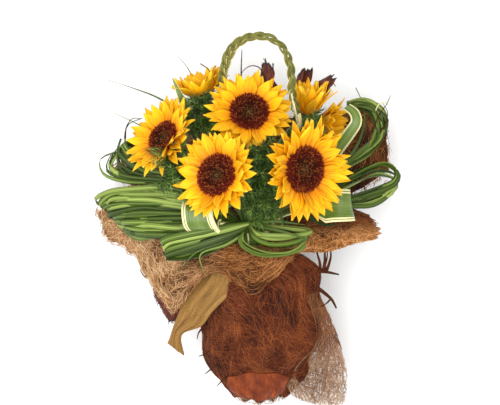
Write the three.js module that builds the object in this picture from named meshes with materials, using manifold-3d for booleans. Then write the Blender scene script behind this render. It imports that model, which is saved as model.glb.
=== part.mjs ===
// A hand-tied bunch of sunflowers lying on its back. Millimetres, +Z up, heads towards +Y.
import * as THREE from "three";
import { mergeVertices } from "three/addons/utils/BufferGeometryUtils.js";
import Module from "manifold-3d";

const wasm = await Module();
wasm.setup();

// The bunch is tied at one point, and its axis rises from the cut ends to the heads.
const TIE_AT = [8, -60, 163];
const LEAN = THREE.MathUtils.degToRad(25);
const CLEARANCE = 0.5;
const SMALLEST_DETAIL = 0.18;
const PETAL_RIDGE = 1.5;

// Flower stems fill the tie, and the stalks of all that surrounds them stand in a ring outside.
const STEM_RADIUS = 4.7;
const STEM_PITCH = 10.1;
const STALK_RADIUS = 2.5;
const STALK_RING = 18.2;
const TIE_INNER = 21.4;
const TIE_OUTER = 25.6;
const TIE_HALF_HEIGHT = 7;

// The fibre wrap has the same 20 segments all the way down, and every sheet held on it uses them.
const WRAP_SEGMENTS = 20;
const WRAP_THICKNESS = 1.6;
const SHEET_THICKNESS = 1.6;
const LEAF_THICKNESS = 1.1;

// Each station of the wrap: distance along the axis, half width, half depth, shift right, sag back.
const WRAP_STATIONS = [
  [7, 27, 27, 0, 0],
  [-7, 27, 27, 0, 0],
  [-24, 60, 33, -1, -1],
  [-48, 88, 41, 5, -3],
  [-85, 94, 52, 6, -6],
  [-125, 94, 60, 14, -8],
  [-165, 95, 62, 13, -10],
  [-205, 80, 58, 3, -15],
  [-240, 75, 53, 8, -20],
  [-272, 50, 44, 10, -20],
];

// Each head: where its disc is, where it faces, disc radius, petal length and count, petal angle.
const HEAD_KEYS = ["name", "at", "facing", "disc", "petal", "count", "cup"];
const BLOOMS = [
  ["top", [-1, 133, 243], [0.05, 0.38, 0.92], 30, 36, 24, 24],
  ["left", [-128, 96, 225], [-0.62, 0.42, 0.66], 27, 36, 24, 24],
  ["centre", [-47, 39, 300], [-0.5, 0.22, 0.84], 33, 35, 24, 24],
  ["right", [78, 48, 287], [0.58, -0.1, 0.81], 36, 41, 26, 24],
  ["back_left", [-74, 166, 188], [-0.25, 0.93, 0.25], 17, 36, 14, 58],
  ["back_right", [88, 136, 198], [0.02, 0.95, 0.3], 12, 46, 12, 76],
  ["far_right", [113, 122, 161], [0.83, -0.22, 0.51], 11, 36, 10, 58],
].map((row) => Object.fromEntries(row.map((value, i) => [HEAD_KEYS[i], value])));
const LARGE_DISC = 24;

// The slots of the flower stems in the tie: one in the middle and six round it, in degrees.
const STEM_SLOTS = { left: 180, centre: 120, right: 60, back_left: 240, back_right: 0, far_right: 300 };

const ALONG = new THREE.Vector3(0, Math.cos(LEAN), Math.sin(LEAN));
const FRONT = new THREE.Vector3(0, -Math.sin(LEAN), Math.cos(LEAN));
const ACROSS = new THREE.Vector3(1, 0, 0);
const TIE = new THREE.Vector3(...TIE_AT);

const paint = (color, roughness) => new THREE.MeshStandardMaterial({ color, roughness, metalness: 0 });
const petalYellow = paint("#ffb90a", 0.55);
const discBrown = paint("#4a1f10", 0.9);
const calyxGreen = paint("#6d8a32", 0.7);
const grassGreen = paint("#4f8a2c", 0.5);
const leafGreen = paint("#5d8c3a", 0.45);
const fernGreen = paint("#2f7a34", 0.65);
const braidGreen = paint("#8f9a45", 0.6);
const collarTan = paint("#b98a55", 0.9);
const tongueTan = paint("#b8743c", 0.85);
const wrapBrown = paint("#6e3a1f", 0.95);
const barkTan = paint("#b98d4c", 0.8);
const rustBark = paint("#a8501f", 0.8);
const driedRed = paint("#6a2c1c", 0.85);
const meshBuff = paint("#c9a77c", 0.9);
const twine = paint("#8a7a4a", 0.9);

const group = new THREE.Group();
const settled = [];

// Turns a place given as across, front and along the axis from the tie into the model's frame.
function inBunch(across, front, along) {
  const onAxis = TIE.clone().addScaledVector(ALONG, along);
  return onAxis.addScaledVector(ACROSS, across).addScaledVector(FRONT, front);
}

function points(list) {
  return list.map((p) => new THREE.Vector3(...p));
}

function seeded(seed) {
  let state = seed;
  const next = () => {
    state = (state * 1664525 + 1013904223) % 4294967296;
    return state / 4294967296;
  };
  return { next, either: (amount) => (next() * 2 - 1) * amount };
}

// A closed body from points and triangles, turned right side out if they run the wrong way.
function closedBody(corners, faces) {
  const volume = faces.reduce((sum, [a, b, c]) => {
    const across = new THREE.Vector3().crossVectors(corners[b], corners[c]);
    return sum + corners[a].dot(across);
  }, 0);
  const index = faces.flatMap(([a, b, c]) => (volume < 0 ? [a, c, b] : [a, b, c]));
  const geometry = new THREE.BufferGeometry().setFromPoints(corners);
  geometry.setIndex(index);
  return geometry;
}

// Joins closed loops of points one after another. A loop of one point is a tip.
function loft(loops) {
  const corners = loops.flat();
  const faces = [];
  let start = 0;
  for (let k = 0; k + 1 < loops.length; k++) {
    const here = loops[k].length;
    const there = loops[k + 1].length;
    const next = start + here;
    const sides = Math.max(here, there);
    for (let i = 0; i < sides; i++) {
      const j = (i + 1) % sides;
      if (here > 1) faces.push([start + i, start + j, next + (there > 1 ? j : 0)]);
      if (there > 1) faces.push([start + (here > 1 ? i : 0), next + j, next + i]);
    }
    start = next;
  }
  const capEnd = (first, count, flip) => {
    for (let i = 1; i + 1 < count; i++) {
      faces.push(flip ? [first, first + i + 1, first + i] : [first, first + i, first + i + 1]);
    }
  };
  capEnd(0, loops[0].length, true);
  capEnd(start, loops[loops.length - 1].length, false);
  return closedBody(corners, faces);
}

// A sheet of even thickness over rows of points, split alike on both faces.
function sheet(rows, thickness, around = false) {
  const columns = rows[0].length;
  const at = (r, c) => rows[r][around ? (c + columns) % columns : THREE.MathUtils.clamp(c, 0, columns - 1)];
  const corners = [];
  for (const side of [0.5, -0.5]) {
    for (let r = 0; r < rows.length; r++) {
      for (let c = 0; c < columns; c++) {
        const down = at(Math.min(r + 1, rows.length - 1), c).clone().sub(at(Math.max(r - 1, 0), c));
        const right = at(r, c + 1).clone().sub(at(r, c - 1));
        const out = down.cross(right).normalize();
        corners.push(rows[r][c].clone().addScaledVector(out, side * thickness));
      }
    }
  }
  const back = rows.length * columns;
  const id = (r, c) => r * columns + (c % columns);
  const faces = [];
  const quad = (a, b, c, d) => faces.push([a, b, c], [a, c, d]);
  const cells = around ? columns : columns - 1;
  for (let r = 0; r + 1 < rows.length; r++) {
    for (let c = 0; c < cells; c++) {
      const [a, b, d, e] = [id(r, c), id(r, c + 1), id(r + 1, c + 1), id(r + 1, c)];
      quad(a, b, d, e);
      faces.push([back + a, back + d, back + b], [back + a, back + e, back + d]);
    }
  }
  const edge = (a, b) => quad(b, a, back + a, back + b);
  for (let c = 0; c < cells; c++) {
    edge(id(0, c), id(0, c + 1));
    edge(id(rows.length - 1, c + 1), id(rows.length - 1, c));
  }
  if (!around) {
    for (let r = 0; r + 1 < rows.length; r++) {
      edge(id(r + 1, 0), id(r, 0));
      edge(id(r, columns - 1), id(r + 1, columns - 1));
    }
  }
  return closedBody(corners, faces);
}

// A body turned round Z from a closed or on-axis profile of radius and height.
function turned(profile, segments) {
  const outline = profile.map(([radius, height]) => new THREE.Vector2(radius, height));
  return new THREE.LatheGeometry(outline, segments).rotateX(Math.PI / 2);
}

function toSolid(geometry) {
  const bare = geometry.clone();
  bare.deleteAttribute("normal");
  bare.deleteAttribute("uv");
  const merged = mergeVertices(bare, 1e-4);
  return new wasm.Manifold(
    new wasm.Mesh({
      numProp: 3,
      vertProperties: Float32Array.from(merged.attributes.position.array),
      triVerts: Uint32Array.from(merged.index.array),
    }),
  );
}

function fromSolid(solid) {
  const mesh = solid.getMesh();
  const geometry = new THREE.BufferGeometry();
  geometry.setAttribute("position", new THREE.BufferAttribute(Float32Array.from(mesh.vertProperties), 3));
  geometry.setIndex(Array.from(mesh.triVerts));
  return geometry;
}

// Fuses closed bodies and keeps the largest that results.
function fuse(geometries) {
  const whole = wasm.Manifold.union(geometries.map(toSolid));
  const bodies = whole.decompose().sort((a, b) => b.volume() - a.volume());
  return fromSolid(bodies[0].simplify(SMALLEST_DETAIL));
}

function place(name, geometry, material, parent = group) {
  const mesh = new THREE.Mesh(geometry, material);
  mesh.name = name;
  parent.add(mesh);
  mesh.updateWorldMatrix(true, false);
  settled.push(toSolid(geometry.clone().applyMatrix4(mesh.matrixWorld)));
  return mesh;
}

function isClear(geometry, gap = CLEARANCE) {
  const solid = toSolid(geometry);
  return settled.every((other) => other.minGap(solid, gap) >= gap);
}

// A loop of points round a curve's point, in the plane of two unit directions.
function ringOf(centre, first, second, radius, sides) {
  return Array.from({ length: sides }, (_, i) => {
    const angle = (2 * Math.PI * i) / sides;
    return centre
      .clone()
      .addScaledVector(first, radius * Math.cos(angle))
      .addScaledVector(second, radius * Math.sin(angle));
  });
}

// A stem that runs straight through the tie from its cut end and then bends to where it arrives.
function boundStem({ across, front, from, neck, to, arriving, reach, steps, sides, radius, endRadius }) {
  const top = inBunch(across, front, neck);
  const bend = new THREE.CubicBezierCurve3(
    top,
    top.clone().addScaledVector(ALONG, top.distanceTo(to) * 0.4),
    to.clone().addScaledVector(arriving, -top.distanceTo(to) * reach),
    to,
  );
  const low = inBunch(across, front, from);
  const loops = [low, top].map((centre) => ringOf(centre, ACROSS, FRONT, radius, sides));
  let side = ACROSS.clone();
  for (let i = 1; i <= steps; i++) {
    const t = i / steps;
    const ahead = bend.getTangent(t);
    side = side.clone().addScaledVector(ahead, -side.dot(ahead)).normalize();
    const up = new THREE.Vector3().crossVectors(ahead, side);
    const thick = THREE.MathUtils.lerp(radius, endRadius, t ** 3);
    loops.push(ringOf(bend.getPoint(t), side, up.negate(), thick, sides));
  }
  return loft(loops);
}

// A round stem along a curve, from one radius to another.
function stemAlong(curve, steps, sides, startRadius, endRadius) {
  let side = ACROSS.clone();
  const loops = [];
  for (let i = 0; i <= steps; i++) {
    const t = i / steps;
    const ahead = curve.getTangent(t);
    side = side.addScaledVector(ahead, -side.dot(ahead)).normalize();
    const up = new THREE.Vector3().crossVectors(ahead, side);
    loops.push(ringOf(curve.getPoint(t), side, up, THREE.MathUtils.lerp(startRadius, endRadius, t), sides));
    side = side.clone();
  }
  return loft(loops);
}

// A narrow blade along a curve: flat beneath, with a low ridge above, and a point at its end.
const BLADE_BLUNT = 0.12;
const BLADE_KEEL = 0.15;
function blade(curve, { width, height = 1.5, steps = 12, flat, tip = true, widest = 0.5 }) {
  const loops = [];
  const wide = flat.clone();
  for (let i = 0; i <= steps; i++) {
    const t = i / steps;
    const centre = curve.getPoint(t);
    if (i === steps && tip) {
      loops.push([centre]);
      break;
    }
    const ahead = curve.getTangent(t);
    wide.addScaledVector(ahead, -wide.dot(ahead)).normalize();
    const up = new THREE.Vector3().crossVectors(ahead, wide);
    const half = (width / 2) * (tip ? Math.min(1, (1 - t) / (1 - widest) + BLADE_BLUNT) : 1);
    loops.push([
      centre.clone().addScaledVector(wide, -half),
      centre.clone().addScaledVector(up, -height * BLADE_KEEL).addScaledVector(wide, half),
      centre.clone().addScaledVector(up, height),
    ]);
  }
  return loft(loops);
}

// A stalk from its slot in the tie to the knot that its bunch grows from.
function stalk(slotDegrees, knot, arriving, endRadius = 5.5) {
  const angle = THREE.MathUtils.degToRad(slotDegrees);
  return boundStem({
    across: STALK_RING * Math.cos(angle),
    front: STALK_RING * Math.sin(angle),
    from: -16,
    neck: TIE_HALF_HEIGHT + 4,
    to: knot,
    arriving,
    reach: 0.4,
    steps: 4,
    sides: 5,
    radius: STALK_RADIUS,
    endRadius,
  });
}

// One ray petal standing on a ring, along +X before it is turned to its own direction.
const PETAL_OUTLINE = [[0, 0.45], [0.36, 0.97], [0.8, 0.74]];
const PETAL_DROOP = 0.16;
function petal(random, { root, height, length, width, lift, direction }) {
  const slope = THREE.MathUtils.degToRad(lift);
  const roll = random.either(0.2);
  const grown = length * (1 + random.either(0.08));
  const rise = (t) => height + grown * (t * Math.sin(slope) - PETAL_DROOP * t * t);
  const loops = PETAL_OUTLINE.map(([t, share]) => {
    const out = root + grown * t * Math.cos(slope);
    const half = (width / 2) * share;
    return [
      new THREE.Vector3(out, -half, rise(t) - half * roll * t),
      new THREE.Vector3(out, half, rise(t) + half * roll * t),
      new THREE.Vector3(out, 0, rise(t) + PETAL_RIDGE),
    ];
  });
  loops.push([new THREE.Vector3(root + grown * Math.cos(slope), 0, rise(1))]);
  return loft(loops).rotateZ(direction);
}

// The seed disc in relief, from its rim inwards: share of the radius and height of each ring.
const LARGE_DISC_RINGS = [[1, 0.8], [0.88, 4.4], [0.7, 6.4], [0.5, 4.4], [0.26, 1.6]];
const SMALL_DISC_RINGS = [[1, 0.8], [0.88, 4.4], [0.65, 5.4], [0.35, 2]];
const FLORET_RELIEF = 0.9;
const DISC_BACK = -3;
const UP_THE_PAGE = new THREE.Vector3(0, 1, 0);

function discRelief(radius, segments) {
  const rings = radius > LARGE_DISC ? LARGE_DISC_RINGS : SMALL_DISC_RINGS;
  const loopAt = (height, across) => {
    return ringOf(new THREE.Vector3(0, 0, height), ACROSS, UP_THE_PAGE, across, segments);
  };
  const loops = [loopAt(DISC_BACK, radius)];
  for (const [share, height] of rings) {
    const relief = share < 1 ? FLORET_RELIEF : 0;
    const loop = loopAt(height, radius * share);
    loop.forEach((corner, i) => corner.setZ(height + ((i + loops.length) % 2 ? relief : -relief)));
    loops.push(loop);
  }
  loops.push([new THREE.Vector3(0, 0, 1)]);
  return loft(loops);
}

// The petals stand in two layers on a thin ring round the disc.
const RIM_GAP = 0.5;
const RIM_WIDTH = 4;
const RIM_TOP = 2.2;
const LAYER_ANGLE = 16;
const LAYER_RISE = 2.4;
const PETAL_SHARE = 0.8;

function petalRing(random, { disc, petal: length, count, cup }, segments) {
  const inner = disc + RIM_GAP;
  const outer = inner + RIM_WIDTH;
  const section = [[inner, DISC_BACK], [outer, DISC_BACK], [outer, RIM_TOP], [inner, RIM_TOP]];
  const parts = [turned([...section, section[0]], segments)];
  const perLayer = count / 2;
  const spread = disc + length * 0.5 * Math.cos(THREE.MathUtils.degToRad(cup));
  const width = ((2 * Math.PI * spread) / perLayer) * PETAL_SHARE;
  for (const layer of [0, 1]) {
    for (let i = 0; i < perLayer; i++) {
      const direction = (2 * Math.PI * (i + layer / 2)) / perLayer + random.either(0.06);
      const lift = cup + (layer - 0.5) * LAYER_ANGLE + random.either(2);
      const root = inner + 1.3 - layer * 0.4;
      const height = layer * LAYER_RISE + DISC_BACK + 0.4;
      parts.push(petal(random, { root, height, length: length - layer * 2, width, lift, direction }));
    }
  }
  return fuse(parts);
}

// The green cup under the head, its pointed bracts, and the stem down through the tie.
const CUP_TOP = DISC_BACK - 0.5;
const CUP_BOTTOM = -17;
const BRACT_LEVEL = -7;
const BRACT_WIDTH = 13;
const STEM_BELOW_TIE = 205;

function calyxAndStem(bloom, frame) {
  const { disc, name, cup } = bloom;
  const rim = disc + 3;
  const outside = [[0, CUP_BOTTOM], [5, CUP_BOTTOM], [disc * 0.72, -11], [rim, CUP_TOP - 2]];
  const parts = [turned([...outside, [rim, CUP_TOP], [0, CUP_TOP]], 8)];
  const bracts = disc > LARGE_DISC ? 7 : 6;
  for (let i = 0; i < bracts; i++) {
    const curve = new THREE.QuadraticBezierCurve3(
      new THREE.Vector3(disc - 2, 0, BRACT_LEVEL),
      new THREE.Vector3(disc + 9, 0, BRACT_LEVEL),
      new THREE.Vector3(disc + 17, 0, BRACT_LEVEL + (cup > 30 ? 5 : 1)),
    );
    const bract = blade(curve, { width: BRACT_WIDTH, steps: 2, flat: UP_THE_PAGE, widest: 0.4 });
    parts.push(bract.rotateZ((2 * Math.PI * (i + 0.5)) / bracts));
  }
  const slot = STEM_SLOTS[name];
  const angle = THREE.MathUtils.degToRad(slot ?? 0);
  const offset = slot === undefined ? 0 : STEM_PITCH;
  const facing = new THREE.Vector3(...bloom.facing).normalize();
  const stem = boundStem({
    across: offset * Math.cos(angle),
    front: offset * Math.sin(angle),
    from: -STEM_BELOW_TIE - 9 * Math.cos(3 * angle),
    neck: TIE_HALF_HEIGHT + 3,
    to: new THREE.Vector3(...bloom.at).addScaledVector(facing, -14),
    arriving: facing,
    reach: 0.33,
    steps: 5,
    sides: 6,
    radius: STEM_RADIUS,
    endRadius: STEM_RADIUS - 0.5,
  });
  parts.push(stem.applyMatrix4(frame.matrixWorld.clone().invert()));
  return fuse(parts);
}

function addBloom(bloom, seed) {
  const random = seeded(seed);
  const frame = new THREE.Group();
  frame.position.set(...bloom.at);
  const facing = new THREE.Vector3(...bloom.facing).normalize();
  frame.quaternion.setFromUnitVectors(new THREE.Vector3(0, 0, 1), facing);
  group.add(frame);
  frame.updateWorldMatrix(true, false);
  const segments = bloom.disc > LARGE_DISC ? 16 : 12;
  place(`bloom_${bloom.name}_disc`, discRelief(bloom.disc, segments), discBrown, frame);
  place(`bloom_${bloom.name}_petals`, petalRing(random, bloom, segments), petalYellow, frame);
  place(`bloom_${bloom.name}_stem`, calyxAndStem(bloom, frame), calyxGreen, frame);
}

function addTie() {
  const profile = [
    [TIE_INNER, -TIE_HALF_HEIGHT], [TIE_OUTER, -TIE_HALF_HEIGHT], [TIE_OUTER, TIE_HALF_HEIGHT],
    [TIE_INNER, TIE_HALF_HEIGHT], [TIE_INNER, -TIE_HALF_HEIGHT],
  ];
  const ring = turned(profile, WRAP_SEGMENTS).rotateX(LEAN - Math.PI / 2);
  place("stem_tie", ring.translate(...TIE_AT), twine);
}

// A point on the wrap at a segment and a station, with its crumple, moved out by a distance.
const BROAD_FOLDS = 0.05;
const FINE_FOLDS = 0.035;

function wrapPoint(segment, station, out = 0, further = 0) {
  const [along, halfWidth, halfDepth, shift, sag] = WRAP_STATIONS[station];
  const angle = (2 * Math.PI * segment) / WRAP_SEGMENTS;
  const loose = station < 2 ? 0 : 1;
  const broad = BROAD_FOLDS * Math.sin(3 * angle + station * 0.9);
  const fine = FINE_FOLDS * Math.sin(7 * angle - station * 1.7);
  const crumple = 1 + loose * (broad + fine);
  const across = shift + (halfWidth * crumple + out) * Math.cos(angle);
  const front = sag + (halfDepth * crumple + out) * Math.sin(angle);
  const point = inBunch(across, front, along + further);
  point.z = Math.max(point.z, WRAP_THICKNESS / 2);
  return point;
}

function addWrap() {
  const rows = WRAP_STATIONS.map((_, station) =>
    Array.from({ length: WRAP_SEGMENTS }, (_, segment) => wrapPoint(segment, station)),
  );
  place("fibre_wrap", sheet(rows, WRAP_THICKNESS, true), wrapBrown);
}

const SHEET_GAP = 0.6;
const HELD_OUT = WRAP_THICKNESS / 2 + SHEET_GAP + SHEET_THICKNESS / 2;

// A collar sheet is held on the neck of the wrap by its first two rows and spreads from there.
function collar(firstSegment, lastSegment, rowControls, crumple, seed) {
  const random = seeded(seed);
  const step = Math.sign(lastSegment - firstSegment);
  const count = Math.abs(lastSegment - firstSegment) + 1;
  const segments = Array.from({ length: count }, (_, i) => firstSegment + i * step);
  const held = (station, further) => segments.map((s) => wrapPoint(s, station, HELD_OUT, further));
  const rows = [held(1, 4), held(0, 0)];
  for (const controls of rowControls) {
    const curve = new THREE.CatmullRomCurve3(points(controls));
    rows.push(
      segments.map((_, i) => {
        const point = curve.getPoint(i / (count - 1));
        point.z = Math.max(point.z + random.either(crumple), SHEET_THICKNESS / 2);
        return point;
      }),
    );
  }
  return sheet(rows, SHEET_THICKNESS);
}

const COLLAR_LEFT = [
  [[-62, -8, 160], [-60, -30, 174], [-40, -62, 194], [-18, -74, 205], [18, -78, 207], [48, -70, 202]],
  [[-131, 19, 138], [-107, -19, 163], [-75, -60, 187], [-37, -84, 202], [18, -88, 207], [70, -78, 200]],
  [[-179, 12, 112], [-163, -22, 126], [-140, -52, 146], [-113, -80, 164], [-85, -98, 182], [-46, -100, 196],
    [4, -98, 202], [68, -82, 197]],
  [[-216, 4, 94], [-200, -38, 106], [-166, -74, 128], [-138, -106, 146], [-112, -128, 162], [-68, -110, 190],
    [-8, -116, 200], [64, -92, 193]],
  [[-241, -17, 76], [-222, -52, 90], [-172, -90, 120], [-150, -128, 138], [-126, -178, 150], [-82, -126, 182],
    [-8, -132, 196], [60, -100, 188]],
];

const COLLAR_TONGUE = [
  [[58, -72, 186], [62, -62, 178], [64, -46, 166], [64, -30, 152]],
  [[114, -75, 168], [113, -58, 168], [118, -38, 162], [118, -14, 148]],
  [[154, -64, 150], [156, -46, 154], [156, -30, 150], [151, -8, 142]],
  [[190, -56, 136], [198, -46, 140], [192, -34, 140], [185, -20, 134]],
];

const COLLAR_BACK = [
  [[64, -40, 124], [54, -20, 108], [36, -12, 94], [-20, -12, 94], [-50, -20, 106], [-66, -26, 122]],
  [[132, 2, 112], [112, 36, 74], [60, 50, 44], [-50, 50, 44], [-106, 34, 66], [-146, 8, 92]],
  [[184, 28, 96], [170, 92, 66], [92, 98, 10], [-70, 98, 8], [-146, 74, 34], [-192, 30, 72]],
  [[216, 50, 92], [204, 144, 70], [110, 140, -6], [-60, 134, -8], [-160, 108, -4], [-220, 52, 62]],
];

function addCollars() {
  place("fibre_collar_front", collar(11, 4, COLLAR_LEFT, 2, 11), collarTan);
  place("fibre_tongue_right", collar(3, 0, COLLAR_TONGUE, 1.2, 12), tongueTan);
  place("fibre_collar_back", collar(-1, -8, COLLAR_BACK, 2, 13), collarTan);
}

// A blade's route through control points; a sheaf of loops steps from a first route to a last.
function route(list) {
  return new THREE.CatmullRomCurve3(points(list), false, "centripetal");
}

function between(first, last, share, random) {
  return first.map((p, k) => p.map((v, axis) => {
    const jitter = k > 0 && k + 1 < first.length ? random.either(axis === 2 ? 2 : 3) : 0;
    return THREE.MathUtils.lerp(v, last[k][axis], share) + jitter;
  }));
}

function sheaf({ first, last, count, width, flat }, random) {
  return Array.from({ length: count }, (_, i) => {
    const list = between(first, last, count === 1 ? 0 : i / (count - 1), random);
    return blade(route(list), { width, steps: 8, flat: new THREE.Vector3(...flat), tip: false });
  });
}

function tips(lists, width, flat) {
  const wide = new THREE.Vector3(...flat);
  return lists.map((list) => blade(route(list), { width, steps: 4, flat: wide, widest: 0.3 }));
}

const GRASS = {
  grass_left_low: {
    slot: 162, knot: [-44, -22, 208], arriving: [-0.8, 0.1, 0.6],
    sheaves: [{
      first: [[-42, -16, 212], [-105, 17, 208], [-174, 23, 186], [-220, 18, 160], [-235, 2, 142],
        [-219, -7, 132], [-153, -4, 160], [-50, -20, 200]],
      last: [[-42, -26, 212], [-97, -50, 220], [-144, -53, 198], [-176, -51, 172], [-189, -44, 152],
        [-173, -39, 144], [-126, -33, 168], [-50, -24, 200]],
      count: 6, width: 7, flat: [0, 1, 0],
    }],
    tips: [],
  },
  grass_left_high: {
    slot: 180, knot: [-58, -2, 184], arriving: [-0.8, 0.3, 0.5],
    sheaves: [{
      first: [[-56, 0, 188], [-121, 24, 182], [-190, 34, 158], [-222, 50, 138], [-225, 69, 125],
        [-206, 82, 112], [-150, 58, 120], [-62, 0, 178]],
      last: [[-56, 2, 188], [-108, 38, 182], [-152, 52, 166], [-179, 68, 150], [-188, 87, 138],
        [-170, 92, 128], [-131, 62, 130], [-62, 0, 178]],
      count: 3, width: 6, flat: [0, 1, 0],
    }],
    tips: [
      [[-60, 2, 182], [-120, 42, 160], [-185, 81, 148], [-192, 96, 148], [-187, 119, 150], [-165, 129, 154]],
    ],
    leaf: [[-60, 2, 184], [-130, 36, 168], [-176, 54, 158], [-202, 78, 150], [-198, 98, 146]],
  },
  grass_front: {
    slot: 90, knot: [2, -34, 214], arriving: [0, 0.2, 1],
    sheaves: [{
      first: [[3, -30, 218], [-52, -44, 232], [-97, -56, 226], [-126, -66, 212], [-133, -74, 202],
        [-113, -76, 204], [-67, -64, 208], [-2, -40, 212]],
      last: [[4, -34, 218], [-47, -60, 230], [-89, -75, 222], [-120, -86, 210], [-129, -94, 201],
        [-108, -92, 203], [-63, -78, 209], [-2, -40, 212]],
      count: 2, width: 11, flat: [0, 1, 0],
    }, {
      first: [[-2, -32, 218], [12, -44, 234], [40, -50, 236], [78, -46, 228], [90, -40, 220], [62, -36, 217],
        [6, -34, 214]],
      last: [[-2, -38, 218], [-14, -64, 227], [12, -84, 222], [58, -82, 214], [80, -64, 213], [60, -52, 214],
        [6, -38, 214]],
      count: 3, width: 5.5, flat: [0, 1, 0.4],
    }],
    tips: [
      [[0, -36, 216], [-40, -58, 219], [-80, -74, 219], [-106, -103, 212]],
      [[4, -37, 215], [-34, -62, 217], [-74, -78, 215], [-68, -107, 209]],
      [[4, -34, 216], [59, -46, 236], [91, -58, 226]],
    ],
  },
  grass_right_high: {
    slot: 324, knot: [84, 20, 152], arriving: [0.8, 0.5, 0.2],
    sheaves: [{
      first: [[84, 22, 154], [118, 38, 160], [152, 60, 160], [180, 80, 158], [202, 102, 154],
        [208, 126, 150], [196, 146, 150], [171, 155, 152], [149, 152, 146]],
      last: [[86, 18, 154], [116, 36, 162], [145, 57, 164], [170, 76, 164], [189, 97, 162],
        [195, 119, 158], [185, 137, 157], [166, 143, 158], [152, 141, 148]],
      count: 4, width: 6.5, flat: [0.5, -0.5, 0.7],
    }],
    tips: [[[84, 20, 152], [152, 70, 164], [174, 118, 160], [172, 152, 154], [162, 176, 150]]],
  },
  grass_right_low: {
    slot: 0, knot: [78, -12, 168], arriving: [0.9, 0, 0.3],
    sheaves: [{
      first: [[80, -8, 170], [144, 6, 176], [186, 20, 162], [223, 35, 148], [228, 49, 138], [209, 62, 132],
        [155, 44, 136], [80, -8, 162]],
      last: [[80, -14, 170], [144, -5, 178], [185, -3, 168], [217, 17, 152], [225, 33, 143], [201, 40, 137],
        [154, 24, 140], [80, -12, 162]],
      count: 3, width: 6, flat: [0, 1, 0.2],
    }],
    tips: [],
  },
  grass_tips: {
    slot: 234, knot: [-52, 40, 150], arriving: [-0.5, 0.8, 0.2],
    sheaves: [],
    tips: [
      [[-52, 40, 150], [-92, 110, 158], [-128, 152, 172], [-181, 174, 190], [-213, 184, 195]],
      [[-54, 42, 148], [-78, 120, 132], [-90, 195, 122], [-101, 214, 134], [-122, 236, 142]],
      [[-56, 40, 148], [-120, 92, 142], [-180, 124, 150], [-208, 137, 152]],
    ],
  },
};

const KNOT_DEPTH = 5;
const TIP_WIDTH = 5;
const BROAD_LEAF_WIDTH = 17;

function addGrass(name, seed) {
  const { slot, knot, arriving, sheaves, tips: tipRoutes, leaf } = GRASS[name];
  const random = seeded(seed);
  const ahead = new THREE.Vector3(...arriving).normalize();
  const parts = [stalk(slot, new THREE.Vector3(...knot).addScaledVector(ahead, KNOT_DEPTH), ahead)];
  for (const one of sheaves) parts.push(...sheaf(one, random));
  parts.push(...tips(tipRoutes, TIP_WIDTH, [0, 1, 0]));
  if (leaf) parts.push(...tips([leaf], BROAD_LEAF_WIDTH, [0.7, -0.7, 0.2]));
  place(name, fuse(parts), grassGreen);
}

// The carrying handle: three strands braided along an arch, gathered into a stalk at each foot.
const HANDLE_ARCH = [
  [-47, 155, 188], [-43, 174, 203], [-39, 193, 218], [-34, 211, 235], [-25, 226, 253], [-11, 236, 271],
  [6, 240, 285], [23, 239, 293], [38, 231, 295], [50, 218, 294], [57, 201, 291], [60, 182, 286],
  [60, 163, 279], [64, 145, 268], [70, 129, 250],
];
const STRAND_WIDTH = 5.6;
const STRAND_THICKNESS = 2.6;
const BRAID_HALF_WIDTH = 4.9;
const BRAID_HALF_DEPTH = 2.9;
const BRAID_CROSSINGS = 7;
const BRAID_STEPS = 42;

function addHandle() {
  const arch = route(HANDLE_ARCH);
  const steps = BRAID_STEPS;
  const strands = [0, 1, 2].map((k) => {
    const loops = [];
    for (let i = 0; i <= steps; i++) {
      const t = i / steps;
      const ahead = arch.getTangentAt(t);
      const front = FRONT.clone().addScaledVector(ahead, -FRONT.dot(ahead)).normalize();
      const side = new THREE.Vector3().crossVectors(ahead, front);
      const phase = 2 * Math.PI * (t * BRAID_CROSSINGS / 2 + k / 3);
      const centre = arch
        .getPointAt(t)
        .addScaledVector(side, BRAID_HALF_WIDTH * Math.sin(phase))
        .addScaledVector(front, BRAID_HALF_DEPTH * Math.sin(2 * phase));
      front.multiplyScalar(STRAND_THICKNESS / STRAND_WIDTH);
      loops.push(ringOf(centre, side, front, STRAND_WIDTH / 2, 4));
    }
    return loft(loops);
  });
  const legs = [[216, HANDLE_ARCH[0], 1], [36, HANDLE_ARCH.at(-1), -1]].map(([slot, foot, way]) => {
    const arriving = arch.getTangentAt(way > 0 ? 0 : 1).multiplyScalar(way);
    return stalk(slot, new THREE.Vector3(...foot).addScaledVector(arriving, 3), arriving, 6);
  });
  place("handle_braid", fuse([...strands, ...legs]), braidGreen);
}

// Broad leaves: strips of a leaf bent along a route, each on its own stalk.
const LEAF_BASE = 0.25;
const LEAF_WIDENS_OVER = 0.29;
const LEAF_CHANNEL = 0.03;

function leafStrip(list, width, flat, steps, taper = 0) {
  const curve = route(list);
  const wide = new THREE.Vector3(...flat);
  const rows = [];
  for (let i = 0; i <= steps; i++) {
    const t = i / steps;
    const ahead = curve.getTangent(t);
    wide.addScaledVector(ahead, -wide.dot(ahead)).normalize();
    const up = new THREE.Vector3().crossVectors(ahead, wide);
    const half = (width / 2) * Math.min(1, LEAF_BASE + t / LEAF_WIDENS_OVER) * (1 - taper * t ** 3);
    const middle = curve.getPoint(t);
    rows.push([
      middle.clone().addScaledVector(wide, -half),
      middle.clone().addScaledVector(up, -width * LEAF_CHANNEL),
      middle.clone().addScaledVector(wide, half),
    ]);
  }
  return sheet(rows, LEAF_THICKNESS);
}

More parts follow.
